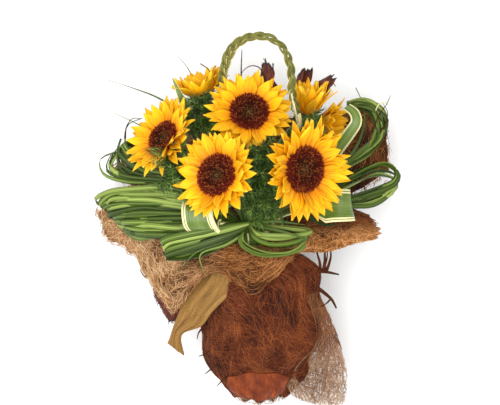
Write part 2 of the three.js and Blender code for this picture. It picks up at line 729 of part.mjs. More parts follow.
const LEAVES = {
  leaf_roll_left: {
    slot: 126, start: [-46, -30, 236], arriving: [-0.6, 0, 0.8], width: 46, flat: [1, 0, 0],
    route: [[-50, -30, 238], [-62, -39, 243], [-69, -41, 257], [-75, -30, 267], [-77, -10, 268],
      [-75, 0, 258], [-72, 0, 244]],
    taper: 0,
  },
  leaf_band_right: {
    slot: 18, start: [92, -12, 206], arriving: [0.8, 0, 0.6], width: 50, flat: [0, 1, 0],
    route: [[94, -10, 208], [118, -5, 222], [142, -4, 224], [153, -4, 212], [146, -4, 198], [124, -4, 194]],
    taper: 0.2,
  },
  leaf_fold_right: {
    slot: 342, start: [110, 42, 166], arriving: [0.5, 0.7, 0.3], width: 20, flat: [1, -0.3, 0],
    route: [[113, 48, 170], [130, 78, 190], [149, 104, 203], [159, 121, 208], [156, 134, 206],
      [145, 144, 198]],
    taper: 0.3,
  },
  leaf_back_left: {
    slot: 198, start: [-72, 96, 174], arriving: [-0.2, 0.8, 0.4], width: 20, flat: [0.8, 0.4, -0.4],
    route: [[-74, 98, 178], [-87, 122, 196], [-98, 146, 206], [-108, 168, 211], [-116, 186, 212]],
    taper: 0.95,
  },
};

function addLeaf(name) {
  const { slot, start, arriving, width, flat, route: list, taper } = LEAVES[name];
  const base = stalk(slot, new THREE.Vector3(...start), new THREE.Vector3(...arriving).normalize(), 3.2);
  place(name, fuse([leafStrip([start, ...list], width, flat, 7, taper), base]), leafGreen);
}

// Dried curled leaves behind the heads, each a sheet rolled about its own length with a torn point.
const DRIED = {
  dried_curl_left: {
    slot: 270,
    curls: [{ start: [28, 152, 172], tip: [26, 210, 204], roll: 13, turnsFrom: 0.2 }],
  },
  dried_curls_right: {
    slot: 288,
    curls: [
      { start: [76, 146, 146], tip: [87, 200, 168], roll: 13, turnsFrom: 2.2 },
      { start: [104, 160, 136], tip: [128, 192, 150], roll: 13, turnsFrom: 1.2 },
    ],
  },
};

const CURL_TURN = 3.6;
const CURL_COLUMNS = 6;

function driedCurl({ start, tip, roll, turnsFrom }) {
  const from = new THREE.Vector3(...start);
  const to = new THREE.Vector3(...tip);
  const ahead = to.clone().sub(from).normalize();
  const side = new THREE.Vector3().crossVectors(ahead, FRONT).normalize();
  const up = new THREE.Vector3().crossVectors(side, ahead);
  const rows = [0, 0.3, 0.65, 1].map((t) =>
    Array.from({ length: CURL_COLUMNS }, (_, i) => {
      const angle = turnsFrom + (i / (CURL_COLUMNS - 1)) * CURL_TURN;
      const belly = 0.35 + 0.65 * Math.sin(Math.PI * (0.15 + 0.7 * t));
      const radius = roll * belly * (1 - i * 0.04);
      const reach = t - 0.16 * Math.cos(angle * 1.7) * t;
      return from
        .clone()
        .lerp(to, reach)
        .addScaledVector(side, radius * Math.cos(angle))
        .addScaledVector(up, radius * Math.sin(angle));
    }),
  );
  return { body: sheet(rows, 1.4), spine: rows[0][3], ahead };
}

function addDried(name) {
  const { slot, curls } = DRIED[name];
  const grown = curls.map(driedCurl);
  const parts = [...grown.map((curl) => curl.body), stalk(slot, grown[0].spine, grown[0].ahead, 3)];
  for (const curl of grown.slice(1)) {
    const low = grown[0].spine.clone().addScaledVector(grown[0].ahead, -3);
    const middle = low.clone().lerp(curl.spine, 0.5).addScaledVector(FRONT, -8);
    const twig = new THREE.QuadraticBezierCurve3(low, middle, curl.spine);
    parts.push(stemAlong(twig, 3, 4, 2.4, 2));
  }
  place(name, fuse(parts), driedRed);
}

// Pieces that lie on the wrap: their first rows follow it, and the rest stands off it.
function onWrap(rows, thickness) {
  const settle = (p) => (p.length === 3 ? new THREE.Vector3(...p) : wrapPoint(p[0], p[1], HELD_OUT));
  return sheet(rows.map((row) => row.map(settle)), thickness);
}

function addBarkAndMesh() {
  place("bark_tan", onWrap([
    [[7, 3], [8, 3], [9, 3]],
    [[7, 4], [-74, -150, 152], [-104, -150, 150]],
    [[-57, -173, 156], [-83, -173, 152], [-107, -168, 148]],
    [[-74, -189, 152], [-96, -191, 150], [-118, -191, 147]],
    [[-104, -203, 148], [-114, -206, 148], [-124, -209, 146]],
    [[-101, -236, 142], [-113, -227, 144], [-127, -216, 146]],
  ], SHEET_THICKNESS), barkTan);
  place("bark_rust", onWrap([
    [[3, 7], [4, 7], [5, 7], [6, 7], [7, 7]],
    [[3, 8], [4, 8], [5, 8], [6, 8], [7, 8]],
    [[4, 9], [4.5, 9], [5, 9], [5.5, 9], [6, 9]],
  ], SHEET_THICKNESS), rustBark);
  place("fibre_mesh_foot", onWrap([
    [[0, 4], [1, 4], [2, 4]],
    [[130, -192, 104], [1, 5], [2, 5]],
    [[143, -232, 94], [1, 6], [2, 6]],
    [[150, -268, 84], [1, 7], [2, 7]],
    [[151, -296, 78], [1, 8], [2, 8]],
    [[148, -318, 74], [112, -314, 74], [80, -308, 78]],
  ], 1.2), meshBuff);
}

// Feathery green sprays: three-sided needles on thin branches round a slim stem.
const FERNS = {
  fern_left: {
    slot: 144, branches: 7, reach: 28,
    stem: [[-60, 30, 226], [-86, 50, 232], [-112, 62, 232], [-134, 60, 226]],
  },
  fern_middle: {
    slot: 72, branches: 6, reach: 30,
    stem: [[22, 4, 232], [18, 28, 250], [14, 52, 260], [12, 76, 260]],
  },
  fern_back_left: {
    slot: 252, branches: 6, reach: 26,
    stem: [[-30, 96, 184], [-40, 110, 198], [-56, 124, 206], [-70, 142, 202]],
  },
  fern_right: {
    slot: 54, branches: 5, reach: 20,
    stem: [[70, 66, 226], [74, 88, 232], [82, 106, 236], [96, 116, 234]],
  },
};
const NEEDLE_LENGTH = 13;
const NEEDLE_RADIUS = 0.6;
const BRANCH_TURN = 2.4;

function needle(from, direction, length) {
  const reference = Math.abs(direction.z) < 0.9 ? FRONT : ACROSS;
  const side = new THREE.Vector3().crossVectors(direction, reference).normalize();
  const up = new THREE.Vector3().crossVectors(direction, side);
  return loft([ringOf(from, side, up, NEEDLE_RADIUS, 3), [from.clone().addScaledVector(direction, length)]]);
}

function addFern(name, seed) {
  const { slot, branches, reach, stem } = FERNS[name];
  const random = seeded(seed);
  const spine = route(stem);
  const first = new THREE.Vector3(...stem[0]);
  const parts = [stalk(slot, first, spine.getTangent(0), 1.8), stemAlong(spine, 4, 4, 1.8, 0.9)];
  for (let i = 0; i < branches; i++) {
    const t = 0.05 + (0.95 * i) / (branches - 1);
    const from = spine.getPoint(t);
    const ahead = spine.getTangent(t);
    const around = i * BRANCH_TURN;
    const side = new THREE.Vector3().crossVectors(ahead, FRONT).normalize();
    const up = new THREE.Vector3().crossVectors(side, ahead);
    const out = side.multiplyScalar(Math.cos(around)).addScaledVector(up, Math.sin(around));
    const direction = out.addScaledVector(ahead, 0.5).normalize();
    const length = reach * (0.75 + random.next() * 0.4);
    const to = from.clone().addScaledVector(direction, length);
    const branch = stemAlong(new THREE.LineCurve3(from, to), 1, 3, 1.4, 0.9);
    if (!isClear(branch)) continue;
    parts.push(branch);
    const sprigs = Math.round(length / NEEDLE_LENGTH);
    for (let k = 1; k <= sprigs; k++) {
      const at = from.clone().lerp(to, k / sprigs - 0.02);
      for (const turn of [0, 3.1]) {
        const spin = new THREE.Vector3().crossVectors(direction, FRONT).normalize();
        spin.applyAxisAngle(direction, turn + k * 1.6 + random.either(0.3));
        const way = spin.addScaledVector(direction, 0.8).normalize();
        const leaf = needle(at, way, NEEDLE_LENGTH * (1 + random.either(0.2)));
        if (isClear(leaf)) parts.push(leaf);
      }
    }
  }
  place(name, fuse(parts), fernGreen);
}

addTie();
BLOOMS.forEach((bloom, i) => addBloom(bloom, 40 + i));
addWrap();
addCollars();
Object.keys(LEAVES).forEach((name) => addLeaf(name));
Object.keys(DRIED).forEach((name) => addDried(name));
addHandle();
Object.keys(GRASS).forEach((name, i) => addGrass(name, 70 + i));
addBarkAndMesh();
Object.keys(FERNS).forEach((name, i) => addFern(name, 90 + i));

// The origin is the middle of the underside of the whole bunch.
const bounds = new THREE.Box3().setFromObject(group, true);
const middle = bounds.getCenter(new THREE.Vector3());
group.position.set(-middle.x, -middle.y, -bounds.min.z);

export default group;
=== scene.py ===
# A hand-tied bunch of sunflowers, laid on its back: tied stems, fibre wrap, heads, grass, leaves and fern.
import math

import bpy
import numpy as np
from mathutils import Matrix, Vector


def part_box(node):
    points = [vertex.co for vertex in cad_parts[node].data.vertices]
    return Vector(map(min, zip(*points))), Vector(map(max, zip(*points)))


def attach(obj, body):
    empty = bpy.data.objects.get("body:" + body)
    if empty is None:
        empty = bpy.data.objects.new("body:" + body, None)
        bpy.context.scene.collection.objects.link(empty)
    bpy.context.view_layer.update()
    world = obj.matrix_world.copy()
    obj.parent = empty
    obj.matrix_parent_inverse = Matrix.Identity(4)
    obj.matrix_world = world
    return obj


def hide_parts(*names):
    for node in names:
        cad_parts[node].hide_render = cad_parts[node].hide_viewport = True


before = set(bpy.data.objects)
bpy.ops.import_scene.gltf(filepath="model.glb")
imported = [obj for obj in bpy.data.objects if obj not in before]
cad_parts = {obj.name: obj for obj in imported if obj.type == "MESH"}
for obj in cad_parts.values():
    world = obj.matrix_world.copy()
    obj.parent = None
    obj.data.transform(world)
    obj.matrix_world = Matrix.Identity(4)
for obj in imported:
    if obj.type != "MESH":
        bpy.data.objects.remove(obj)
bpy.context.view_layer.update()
bpy.ops.object.select_all(action="DESELECT")


# Stem tie. Several turns of jute twine hold every stem at one crossing, where florists bind a hand-tied
# bunch. All places below are millimetres in the maker's drawing, and the tie is where that drawing and
# the frame meet.
MM = 0.001
TIE_DRAWN = np.array([8.0, -60.0, 163.0])
LEAN = math.radians(25)
ACROSS = np.array([1.0, 0.0, 0.0])
ALONG = np.array([0.0, math.cos(LEAN), math.sin(LEAN)])
FRONT = np.array([0.0, -math.sin(LEAN), math.cos(LEAN)])
TWINE_TURNS = 5
TWINE_RADIUS = 1.35
TWINE_COIL_RADIUS = 23.5
TWINE_LENGTH = 738
TURN_STEP = 2 * TWINE_RADIUS * 0.93
tie_centre = np.mean([list(corner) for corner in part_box("stem_tie")], axis=0)


def in_bunch(across, front, along):
    """A place given across, in front of and along the bunch's axis from the tie."""
    return TIE_DRAWN + across * ACROSS + front * FRONT + along * ALONG


def srgb(hex_colour):
    """A linear colour with alpha from an sRGB hex value."""
    parts = [int(hex_colour[i:i + 2], 16) / 255 for i in (1, 3, 5)]
    return [c / 12.92 if c <= 0.04045 else ((c + 0.055) / 1.055) ** 2.4 for c in parts] + [1.0]


def feed(node, key, value):
    """Sets a socket to a value, or links it to another node's socket or to that node's main output."""
    if isinstance(value, bpy.types.Node):
        value = next(output for output in value.outputs if output.enabled)
    if isinstance(value, bpy.types.NodeSocket):
        node.id_data.links.new(value, node.inputs[key])
    else:
        node.inputs[key].default_value = value


def add_node(material, kind, sockets=(), ramp=(), **settings):
    """Adds a node with its settings. Its sockets come as a list in order, or by name or number."""
    node = material.node_tree.nodes.new("ShaderNode" + kind)
    for name, value in settings.items():
        setattr(node, name, value)
    for key, value in sockets.items() if isinstance(sockets, dict) else enumerate(sockets):
        feed(node, key, value)
    stops = node.color_ramp.elements if ramp else []
    while len(stops) < len(ramp):
        stops.new(1.0)
    for stop, position in zip(stops, ramp):
        stop.position = position
        stop.color = srgb(ramp[position])
    return node


# A colour mix takes its share and its two colours at these sockets, whose names it has more than once.
SHARE, FROM, TO = 0, 6, 7
# Strips of different tones read the noise this far apart, so that no two have the same streaks.
TONE_SPREAD = 37.0


def start_material(name, roughness, **sockets):
    """A new material and its shader, with the shader's uniform values set on its own sockets."""
    material = bpy.data.materials.new(name)
    material.use_nodes = True
    shader = material.node_tree.nodes["Principled BSDF"]
    feed(shader, "Roughness", roughness)
    for key, value in sockets.items():
        feed(shader, key.replace("_", " "), value)
    return material, shader


def lay_surface(material, shader, colour, relief, strength, depth):
    """Gives a shader its colour, and a relief whose depth is in millimetres."""
    feed(shader, "Base Color", colour)
    bump = {"Height": relief, "Strength": strength, "Distance": depth * MM}
    feed(shader, "Normal", add_node(material, "Bump", bump))


def strip_values(material):
    """The strip attribute that every piece here has, and its values along, across and tone."""
    strip = add_node(material, "Attribute", attribute_name="strip").outputs["Vector"]
    return (strip, *add_node(material, "SeparateXYZ", [strip]).outputs)


def streaks(material, strip, size, streak, detail=3.0):
    """Noise drawn out along a strip. Size is the pieces' mean length and half width, and streak the length
    and width of one streak, all in millimetres."""
    scale = [size[0] / streak[0], size[1] / streak[1], TONE_SPREAD]
    drawn_out = add_node(material, "VectorMath", [strip, scale], operation="MULTIPLY")
    noise = {"Vector": drawn_out, "Scale": 1.0, "Detail": detail, "Roughness": 0.6}
    return add_node(material, "TexNoise", noise)


def new_bundle():
    return {"points": [], "faces": [], "strip": [], "count": 0}


def add_part(bundle, points, faces, strip):
    """Adds points and faces to a bundle, with along, across and tone for each point."""
    first = bundle["count"]
    bundle["points"].append(points)
    bundle["strip"].append(np.broadcast_to(strip, (len(points), 3)))
    bundle["faces"].extend([[first + i for i in face] for face in faces])
    bundle["count"] += len(points)


def build(name, bundle, material):
    """Makes a bundle one smooth mesh object in the frame, riding on the root."""
    mesh = bpy.data.meshes.new(name)
    placed = tie_centre + (np.vstack(bundle["points"]) - TIE_DRAWN) * MM
    mesh.from_pydata(placed.tolist(), [], bundle["faces"])
    layer = mesh.attributes.new("strip", "FLOAT_VECTOR", "POINT")
    layer.data.foreach_set("vector", np.vstack(bundle["strip"]).astype(np.float32).ravel())
    mesh.materials.append(material)
    mesh.shade_smooth()
    piece = bpy.data.objects.new(name, mesh)
    bpy.context.collection.objects.link(piece)
    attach(piece, "root")
    return piece


def unit(vectors):
    length = np.linalg.norm(vectors, axis=-1, keepdims=True)
    return vectors / np.maximum(length, 1e-9)


def carried_frames(path, flat):
    """Directions ahead, to the side and up along a path, with the side carried on without twist."""
    ahead = unit(np.gradient(path, axis=0))
    side = np.empty_like(ahead)
    wide = np.array(flat, dtype=float)
    for i, direction in enumerate(ahead):
        wide = wide - wide.dot(direction) * direction
        wide = wide / max(np.linalg.norm(wide), 1e-9)
        side[i] = wide
    return ahead, side, np.cross(ahead, side)


def skin(rings):
    """Points and faces of closed rings joined one after another, capped at both ends."""
    count, sides = rings.shape[:2]
    start = np.arange(count - 1)[:, None] * sides
    here = np.arange(sides)[None, :]
    there = (here + 1) % sides
    quads = np.stack([start + here, start + there, start + sides + there, start + sides + here], axis=-1)
    faces = quads.reshape(-1, 4).tolist()
    faces.append(list(range(sides))[::-1])
    faces.append([(count - 1) * sides + i for i in range(sides)])
    return rings.reshape(-1, 3), faces


def add_tube(bundle, path, radii, sides=3, tone=0.5, flat=(0.3, 0.2, 0.9), flatten=1.0):
    """A round or flattened rod along a path, such as a fibre, a stem or a twig."""
    _, side, up = carried_frames(path, flat)
    angle = np.linspace(0, 2 * np.pi, sides, endpoint=False)
    radii = np.broadcast_to(radii, len(path))[:, None, None]
    around = (np.cos(angle)[None, :, None] * side[:, None]
              + flatten * np.sin(angle)[None, :, None] * up[:, None])
    points, faces = skin(path[:, None] + radii * around)
    along = np.repeat(np.linspace(0, 1, len(path)), sides)
    across = np.tile(np.cos(angle), len(path))
    add_part(bundle, points, faces, np.column_stack([along, across, np.full(len(points), tone)]))


# Twisted jute: dry and dull, mottled darker and lighter about every millimetre, as its strands twist.
jute, jute_shader = start_material("jute_twine", 0.85)
strip, _, _, _ = strip_values(jute)
twist = streaks(jute, strip, size=(TWINE_LENGTH, TWINE_RADIUS), streak=(1.23, 0.675))
jute_colour = add_node(jute, "ValToRGB", [twist], ramp={0.3: "#5a4a2a", 0.7: "#a8925c"})
lay_surface(jute, jute_shader, jute_colour, twist, 0.6, 0.4)

turn = np.linspace(0, 2 * np.pi * TWINE_TURNS, 40 * TWINE_TURNS)
rise = (turn / (2 * np.pi) - TWINE_TURNS / 2) * TURN_STEP
coil = TIE_DRAWN + TWINE_COIL_RADIUS * (np.cos(turn)[:, None] * ACROSS + np.sin(turn)[:, None] * FRONT)
twine = new_bundle()
add_tube(twine, coil + rise[:, None] * ALONG, TWINE_RADIUS, sides=8)
tie = build("twine_tie", twine, jute)
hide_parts("stem_tie")


# Flower stems and calyxes. Thick hairy green sunflower stems run from their cut ends through the tie, and
# each widens into a flat green cup with pointed bracts under its head. Here disc is the seed disc's radius,
# petal a petal's length, cup the petals' rise in degrees, and slot the stem's direction from the middle one.
BLOOMS = {
    "top": dict(at=(-1, 133, 243), facing=(0.05, 0.38, 0.92), disc=30, petal=37, count=58, cup=24, slot=None),
    "left": dict(
        at=(-128, 96, 225), facing=(-0.62, 0.42, 0.66), disc=27, petal=38, count=52, cup=24, slot=180),
    "centre": dict(
        at=(-47, 39, 300), facing=(-0.5, 0.22, 0.84), disc=32, petal=36, count=58, cup=24, slot=120),
    "right": dict(at=(78, 48, 287), facing=(0.58, -0.1, 0.81), disc=35, petal=42, count=60, cup=24, slot=60),
    "back_left": dict(
        at=(-74, 166, 188), facing=(-0.25, 0.93, 0.25), disc=17, petal=36, count=34, cup=58, slot=240),
    "back_right": dict(
        at=(88, 136, 198), facing=(0.02, 0.95, 0.3), disc=12, petal=46, count=32, cup=74, slot=0),
    "far_right": dict(
        at=(113, 122, 161), facing=(0.83, -0.22, 0.51), disc=11, petal=36, count=32, cup=56, slot=300),
}
STEM_PITCH = 10.1
STEM_RADIUS = 4.6
STEM_NECK = 10
STEM_FOOT = -205
STEM_LENGTH = 408
HEAD_DEPTH = 14
LARGE_DISC = 24
OPEN_CUP = 30
BRACT_WIDTH = 11
BRACT_INSET = 8
BRACT_DROP = 8.4
# Share of the disc's radius, what is added to it, and height.
CALYX_RINGS = [(0, 4.4, -17), (0, 6, -16.4), (0.5, 0, -13.6), (0.82, 0, -10), (1, 1.5, -6.4), (1, 2.6, -4.8),
               (1, 2, -3.6), (0.5, 0, -3.5)]


def rings_of(radii, heights, sides):
    angle = np.linspace(0, 2 * np.pi, sides, endpoint=False)
    flat = np.stack([np.cos(angle), np.sin(angle), np.zeros(sides)], axis=-1)
    return (np.array(radii)[:, None, None] * flat[None]
            + np.array(heights)[:, None, None] * np.array([0, 0, 1.0]))


def leaf_template(name, columns, rows, half_width, lengthwise, crosswise, thickness):
    """A flat grid shaped by its outline and two profiles, thickened, and returned as points and faces."""
    bpy.ops.mesh.primitive_grid_add(x_subdivisions=rows, y_subdivisions=columns, size=2)
    blank = bpy.context.active_object
    blank.name = name
    own = []
    for vertex in blank.data.vertices:
        t, v = (vertex.co.x + 1) / 2, vertex.co.y
        vertex.co = (t, v * half_width(t), lengthwise(t) + crosswise(t, v))
        own.append((t, v))
    thick = blank.modifiers.new("thickness", "SOLIDIFY")
    thick.thickness = thickness
    thick.offset = 0
    bpy.ops.object.modifier_apply(modifier=thick.name)
    points = np.array([vertex.co[:] for vertex in blank.data.vertices])
    faces = [list(face.vertices) for face in blank.data.polygons]
    bpy.data.objects.remove(blank)
    return points, faces, np.tile(np.array(own), (len(points) // len(own), 1))


def place_copy(bundle, template, size, turn_by, root, tone):
    """Adds a scaled and turned copy of a template, with its root at a place."""
    points, faces, strip = template
    placed = (points * size) @ turn_by.T + root
    add_part(bundle, placed, faces, np.column_stack([strip, np.full(len(points), tone)]))


def turned_about(axis, angle):
    return np.array(Matrix.Rotation(angle, 3, axis))


def bent_stalk(neck, end, ahead, pull, count):
    """A stalk's way from its neck, where it runs along the bunch, to its end, reached going ahead."""
    span = np.linalg.norm(end - neck)
    t = np.linspace(0, 1, count)[:, None]
    return ((1 - t) ** 3 * neck + 3 * (1 - t) ** 2 * t * (neck + ALONG * span * 0.4)
            + 3 * (1 - t) * t * t * (end - ahead * span * pull) + t ** 3 * end)


# Hairy plant skin: a soft dull green with a faint pale bloom at its edges. The hairs are much finer than
# these streaks, which are drawn coarse enough to show.
hairy, hairy_shader = start_material("hairy_stem", 0.7, Sheen_Weight=0.25)
strip, _, _, tone = strip_values(hairy)
hairs = streaks(hairy, strip, size=(STEM_LENGTH, STEM_RADIUS), streak=(13.6, 0.7667))
hairy_sum = add_node(hairy, "Math", [hairs, tone], operation="ADD")
hairy_shade = add_node(hairy, "Math", [hairy_sum, 0.5], operation="MULTIPLY")
hairy_colour = add_node(hairy, "ValToRGB", [hairy_shade], ramp={
    0.25: "#2f4f18", 0.5: "#587a2c", 0.8: "#8fa552"})
lay_surface(hairy, hairy_shader, hairy_colour, hairs, 0.5, 0.6)

bract = leaf_template(
    "bract", 4, 8,
    half_width=lambda t: max(0.02, (0.55 + 0.9 * t) * (1 - t) ** 0.55),
    lengthwise=lambda t: 0.10 * math.sin(math.pi * t),
    crosswise=lambda t, v: 0.10 * v * v * (1 - t),
    thickness=0.03,
)
rng = np.random.default_rng(11)
for name, bloom in BLOOMS.items():
    bloom["at"] = np.array(bloom["at"], dtype=float)
    bloom["turn"] = np.array(Vector((0, 0, 1)).rotation_difference(Vector(bloom["facing"])).to_matrix())
    disc, at, turn_head = bloom["disc"], bloom["at"], bloom["turn"]
    large = disc > LARGE_DISC
    green = new_bundle()
    radii = [share * disc + extra for share, extra, _ in CALYX_RINGS]
    cup, cup_faces = skin(rings_of(radii, [height for _, _, height in CALYX_RINGS], 32))
    cup_strip = np.column_stack([cup[:, :2] * 0.02, np.full(len(cup), 0.35)])
    add_part(green, cup @ turn_head.T + at, cup_faces, cup_strip)
    in_layer = 11 if large else 8
    for layer in (0, 1):
        for i in range(in_layer):
            direction = 2 * math.pi * (i + layer / 2) / in_layer + rng.uniform(-0.1, 0.1)
            length = (26 if large else 20) * rng.uniform(0.85, 1.1)
            opening = bloom["cup"] if bloom["cup"] > OPEN_CUP else 3
            lift = math.radians(opening * 0.7 + 4 + rng.uniform(-5, 8) - 6 * layer)
            turn_bract = turn_head @ turned_about("Z", direction)
            root = turn_bract @ np.array([disc - BRACT_INSET, 0, -BRACT_DROP - layer]) + at
            turn_by = turn_bract @ turned_about("Y", -lift)
            place_copy(green, bract, (length, BRACT_WIDTH, length), turn_by, root, rng.uniform(0.2, 0.8))
    facing = unit(np.array(bloom["facing"]))
    angle = math.radians(bloom["slot"] or 0)
    offset = 0 if bloom["slot"] is None else STEM_PITCH
    sideways, forward = offset * math.cos(angle), offset * math.sin(angle)
    neck = in_bunch(sideways, forward, STEM_NECK)
    low = in_bunch(sideways, forward, STEM_FOOT - 9 * math.cos(3 * angle))
    straight = low + (neck - low) * np.linspace(0, 1, 12)[:-1, None]
    bend = bent_stalk(neck, at - HEAD_DEPTH * facing, facing, 0.33, 26)
    add_tube(green, np.vstack([straight, bend]), STEM_RADIUS, sides=12, tone=0.6)
    stem = build(f"bloom_{name}_green", green, hairy)
    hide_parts(f"bloom_{name}_stem")


# Seed discs. Hundreds of tiny tube florets in spirals, maroon brown and open towards the rim, lower and
# greener in the middle, where they are still closed buds. Each table has shares of the radius and values.
DISC_HEIGHTS = [(0.0, 0.26, 0.5, 0.7, 0.88, 1.0), (1.0, 1.8, 4.4, 6.0, 4.4, 0.8)]
DISC_RINGS = np.array([1.0, 0.99, 0.94, 0.88, 0.7, 0.5, 0.26, 0.04])
DISC_SUNK = 1.2
DISC_SIDES = 40
FLORET_SPACING = 2.5
FLORET_SLOPES = [(0, 0.4, 0.7, 1.0), (0, -25, 5, 48)]
FLORET_LENGTHS = [(0, 0.35, 0.6, 1.0), (1.6, 2.0, 3.2, 3.4)]
GOLDEN_ANGLE = math.radians(137.508)

# Dry florets: a velvet dark mass with no shine, and a rusty pollen on some of their tips.
florets, floret_shader = start_material("disc_florets", 0.9, Specular_IOR_Level=0.15)
_, share, height, tone = strip_values(florets)
floret_colour = add_node(florets, "ValToRGB", [share], ramp={
    0.0: "#3a3a1c", 0.28: "#2a1408", 0.5: "#340b06", 0.8: "#580f08", 1.0: "#702010"})
tips = add_node(florets, "Math", [height, tone], operation="MULTIPLY")
pollen = add_node(florets, "Mix", {SHARE: tips, FROM: floret_colour, TO: srgb("#b4602c")}, data_type="RGBA")
feed(floret_shader, "Base Color", pollen)

bpy.ops.mesh.primitive_cone_add(vertices=5, radius1=1.0, radius2=0.62, depth=1.0, location=(0, 0, 0.5))
bud = bpy.context.active_object
bpy.ops.object.transform_apply(location=True)
bpy.ops.object.mode_set(mode="EDIT")
bpy.ops.mesh.select_mode(type="FACE")
bpy.ops.mesh.select_all(action="DESELECT")
bpy.ops.object.mode_set(mode="OBJECT")
for face in bud.data.polygons:
    face.select = face.normal.z > 0.9
bpy.ops.object.mode_set(mode="EDIT")
bpy.ops.mesh.inset(thickness=0.3)
bpy.ops.transform.translate(value=(0, 0, -0.3))
bpy.ops.object.mode_set(mode="OBJECT")
bud_points = np.array([vertex.co[:] for vertex in bud.data.vertices])
bud_faces = [list(face.vertices) for face in bud.data.polygons]
bpy.data.objects.remove(bud)

rng = np.random.default_rng(21)
for name, bloom in BLOOMS.items():
    disc, at, turn_head = bloom["disc"], bloom["at"], bloom["turn"]
    seeds = new_bundle()
    heights = np.interp(DISC_RINGS, *DISC_HEIGHTS) - DISC_SUNK
    heights[0] = -3.0
    base, base_faces = skin(rings_of(DISC_RINGS * disc, heights, DISC_SIDES))
    base_strip = np.column_stack([
        np.repeat(DISC_RINGS, DISC_SIDES), np.zeros(len(base)), np.full(len(base), 0.2)])
    add_part(seeds, base @ turn_head.T + at, base_faces, base_strip)
    count = int(math.pi * disc ** 2 / FLORET_SPACING ** 2)
    for i in range(count):
        share = math.sqrt((i + 0.5) / count) * 0.99
        angle = i * GOLDEN_ANGLE
        height = np.interp(share, *DISC_HEIGHTS) - DISC_SUNK
        slope = math.radians(np.interp(share, *FLORET_SLOPES))
        wide = FLORET_SPACING * 0.46
        tall = np.interp(share, *FLORET_LENGTHS) * rng.uniform(0.75, 1.25)
        turn_by = turn_head @ turned_about("Z", angle) @ turned_about("Y", slope)
        turn_by = turn_by @ turned_about("Z", rng.uniform(0, 6))
        aside = share * disc
        root = turn_head @ np.array([aside * math.cos(angle), aside * math.sin(angle), height]) + at
        tone = rng.uniform(0, 1) ** 2.5
        bud_strip = np.column_stack([np.full(len(bud_points), share), bud_points[:, 2]])
        place_copy(seeds, (bud_points, bud_faces, bud_strip), (wide, wide, tall), turn_by, root, tone)
    piece = build(f"bloom_{name}_florets", seeds, florets)
    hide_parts(f"bloom_{name}_disc")


# Ray petals. Thin golden straps with two grooves along them, in three loose rings round the disc, each a
# little different in length, lift and twist, paler at the tip.
PETAL_RINGS = (0.36, 0.36, 0.28)
PETAL_SHAPES = ((-0.16, 0.05), (-0.05, 0.12), (0.10, 0.08), (-0.28, 0.02), (0.02, -0.06))

# Fresh petals: a satin yellow, orange at the root, with darker veins about a millimetre wide. The veins are
# deepened past their own colour so that they also paint the shade in the grooves and between the petals:
# partly real veins, partly painted shade.
golden, golden_shader = start_material("ray_petal", 0.6, Specular_IOR_Level=0.2)
strip, along, _, tone = strip_values(golden)
veins = streaks(golden, strip, size=(36.8, 8.46), streak=(23, 0.94))
golden_light = add_node(golden, "ValToRGB", [along], ramp={
    0.0: "#e88000", 0.22: "#f49e00", 0.55: "#fbbe06", 0.92: "#fecc26", 1.0: "#ffda5c"})
# Darker vein colour, which also serves as painted shade along and between the petals.
golden_vein_shade = add_node(golden, "ValToRGB", [along], ramp={0.0: "#8e3c00", 0.4: "#c47600", 1.0: "#dea200"})
toned_veins_and_shade = add_node(golden, "Math", [tone, 0.22, veins], operation="MULTIPLY_ADD")
veins_and_painted_shade = add_node(golden, "MapRange", [toned_veins_and_shade, 0.5, 0.82, 0.0, 0.9])
golden_mix = add_node(
    golden, "Mix", {SHARE: veins_and_painted_shade, FROM: golden_light, TO: golden_vein_shade}, data_type="RGBA")
lay_surface(golden, golden_shader, golden_mix, veins, 0.45, 0.8)

petals = [
    leaf_template(
        "petal", 8, 11,
        half_width=lambda t: max(0.012, min(1.0, 0.5 + 1.3 * t) * (1 - t ** 2.5)),
        lengthwise=lambda t, curl=curl: curl * t * t,
        crosswise=lambda t, v, fold=fold: 0.028 * math.cos(3 * math.pi * v) * (1 - t ** 3) + fold * v * v,
        thickness=0.012,
    )
    for curl, fold in PETAL_SHAPES
]
rng = np.random.default_rng(31)
for name, bloom in BLOOMS.items():
    disc, turn_head = bloom["disc"], bloom["turn"]
    rays = new_bundle()
    for layer, share in enumerate(PETAL_RINGS):
        around = round(bloom["count"] * share)
        for i in range(around):
            direction = 2 * math.pi * (i + layer / 3) / around + rng.uniform(-0.09, 0.09)
            length = bloom["petal"] * rng.uniform(0.86, 1.14) - 2.5 * layer
            lift = math.radians(bloom["cup"] - 9 + 9 * layer + rng.uniform(-8, 8))
            wide = 2 * math.pi * (disc + bloom["petal"] * 0.45) / around * rng.uniform(0.52, 0.7)
            turn_ray = turn_head @ turned_about("Z", direction)
            turn_by = turn_ray @ turned_about("Y", -lift) @ turned_about("X", rng.uniform(-0.35, 0.35))
            template = petals[rng.integers(len(petals))]
            root = turn_ray @ np.array([disc - 0.5 - 0.8 * layer, 0, -2.2 + 1.6 * layer]) + bloom["at"]
            place_copy(rays, template, (length, wide, length), turn_by, root, rng.uniform(0, 1))
    piece = build(f"bloom_{name}_rays", rays, golden)
    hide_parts(f"bloom_{name}_petals")


# Fibre wrap. A coarse brown sheath of palm fibre, gathered at the tie, bellied out over the stems and drawn
# in again at its foot. Its fibres lie in crossing layers, and their loose ends stand off the edges. A station
# holds its place along the bunch, its half width and half depth, and its shift across and to the front.
WRAP_STATIONS = np.array([
    [7, 27, 27, 0, 0], [-7, 27, 27, 0, 0], [-24, 66, 33, 1, -1], [-48, 91, 41, 7, -3], [-85, 94, 52, 6, -6],
    [-125, 94, 60, 14, -8], [-165, 95, 62, 13, -10], [-205, 80, 58, 3, -15], [-240, 75, 53, 8, -20],
    [-272, 50, 44, 10, -20],
], dtype=float)
WRAP_SEGMENTS = 20
WRAP_COLUMNS = 160
SHEET_THICKNESS = 0.9
HELD_OUT = 2.2
TABLE_GAP = 0.8
PATCH_SIZE = 38.46
GRAIN_SIZE = 1.4286


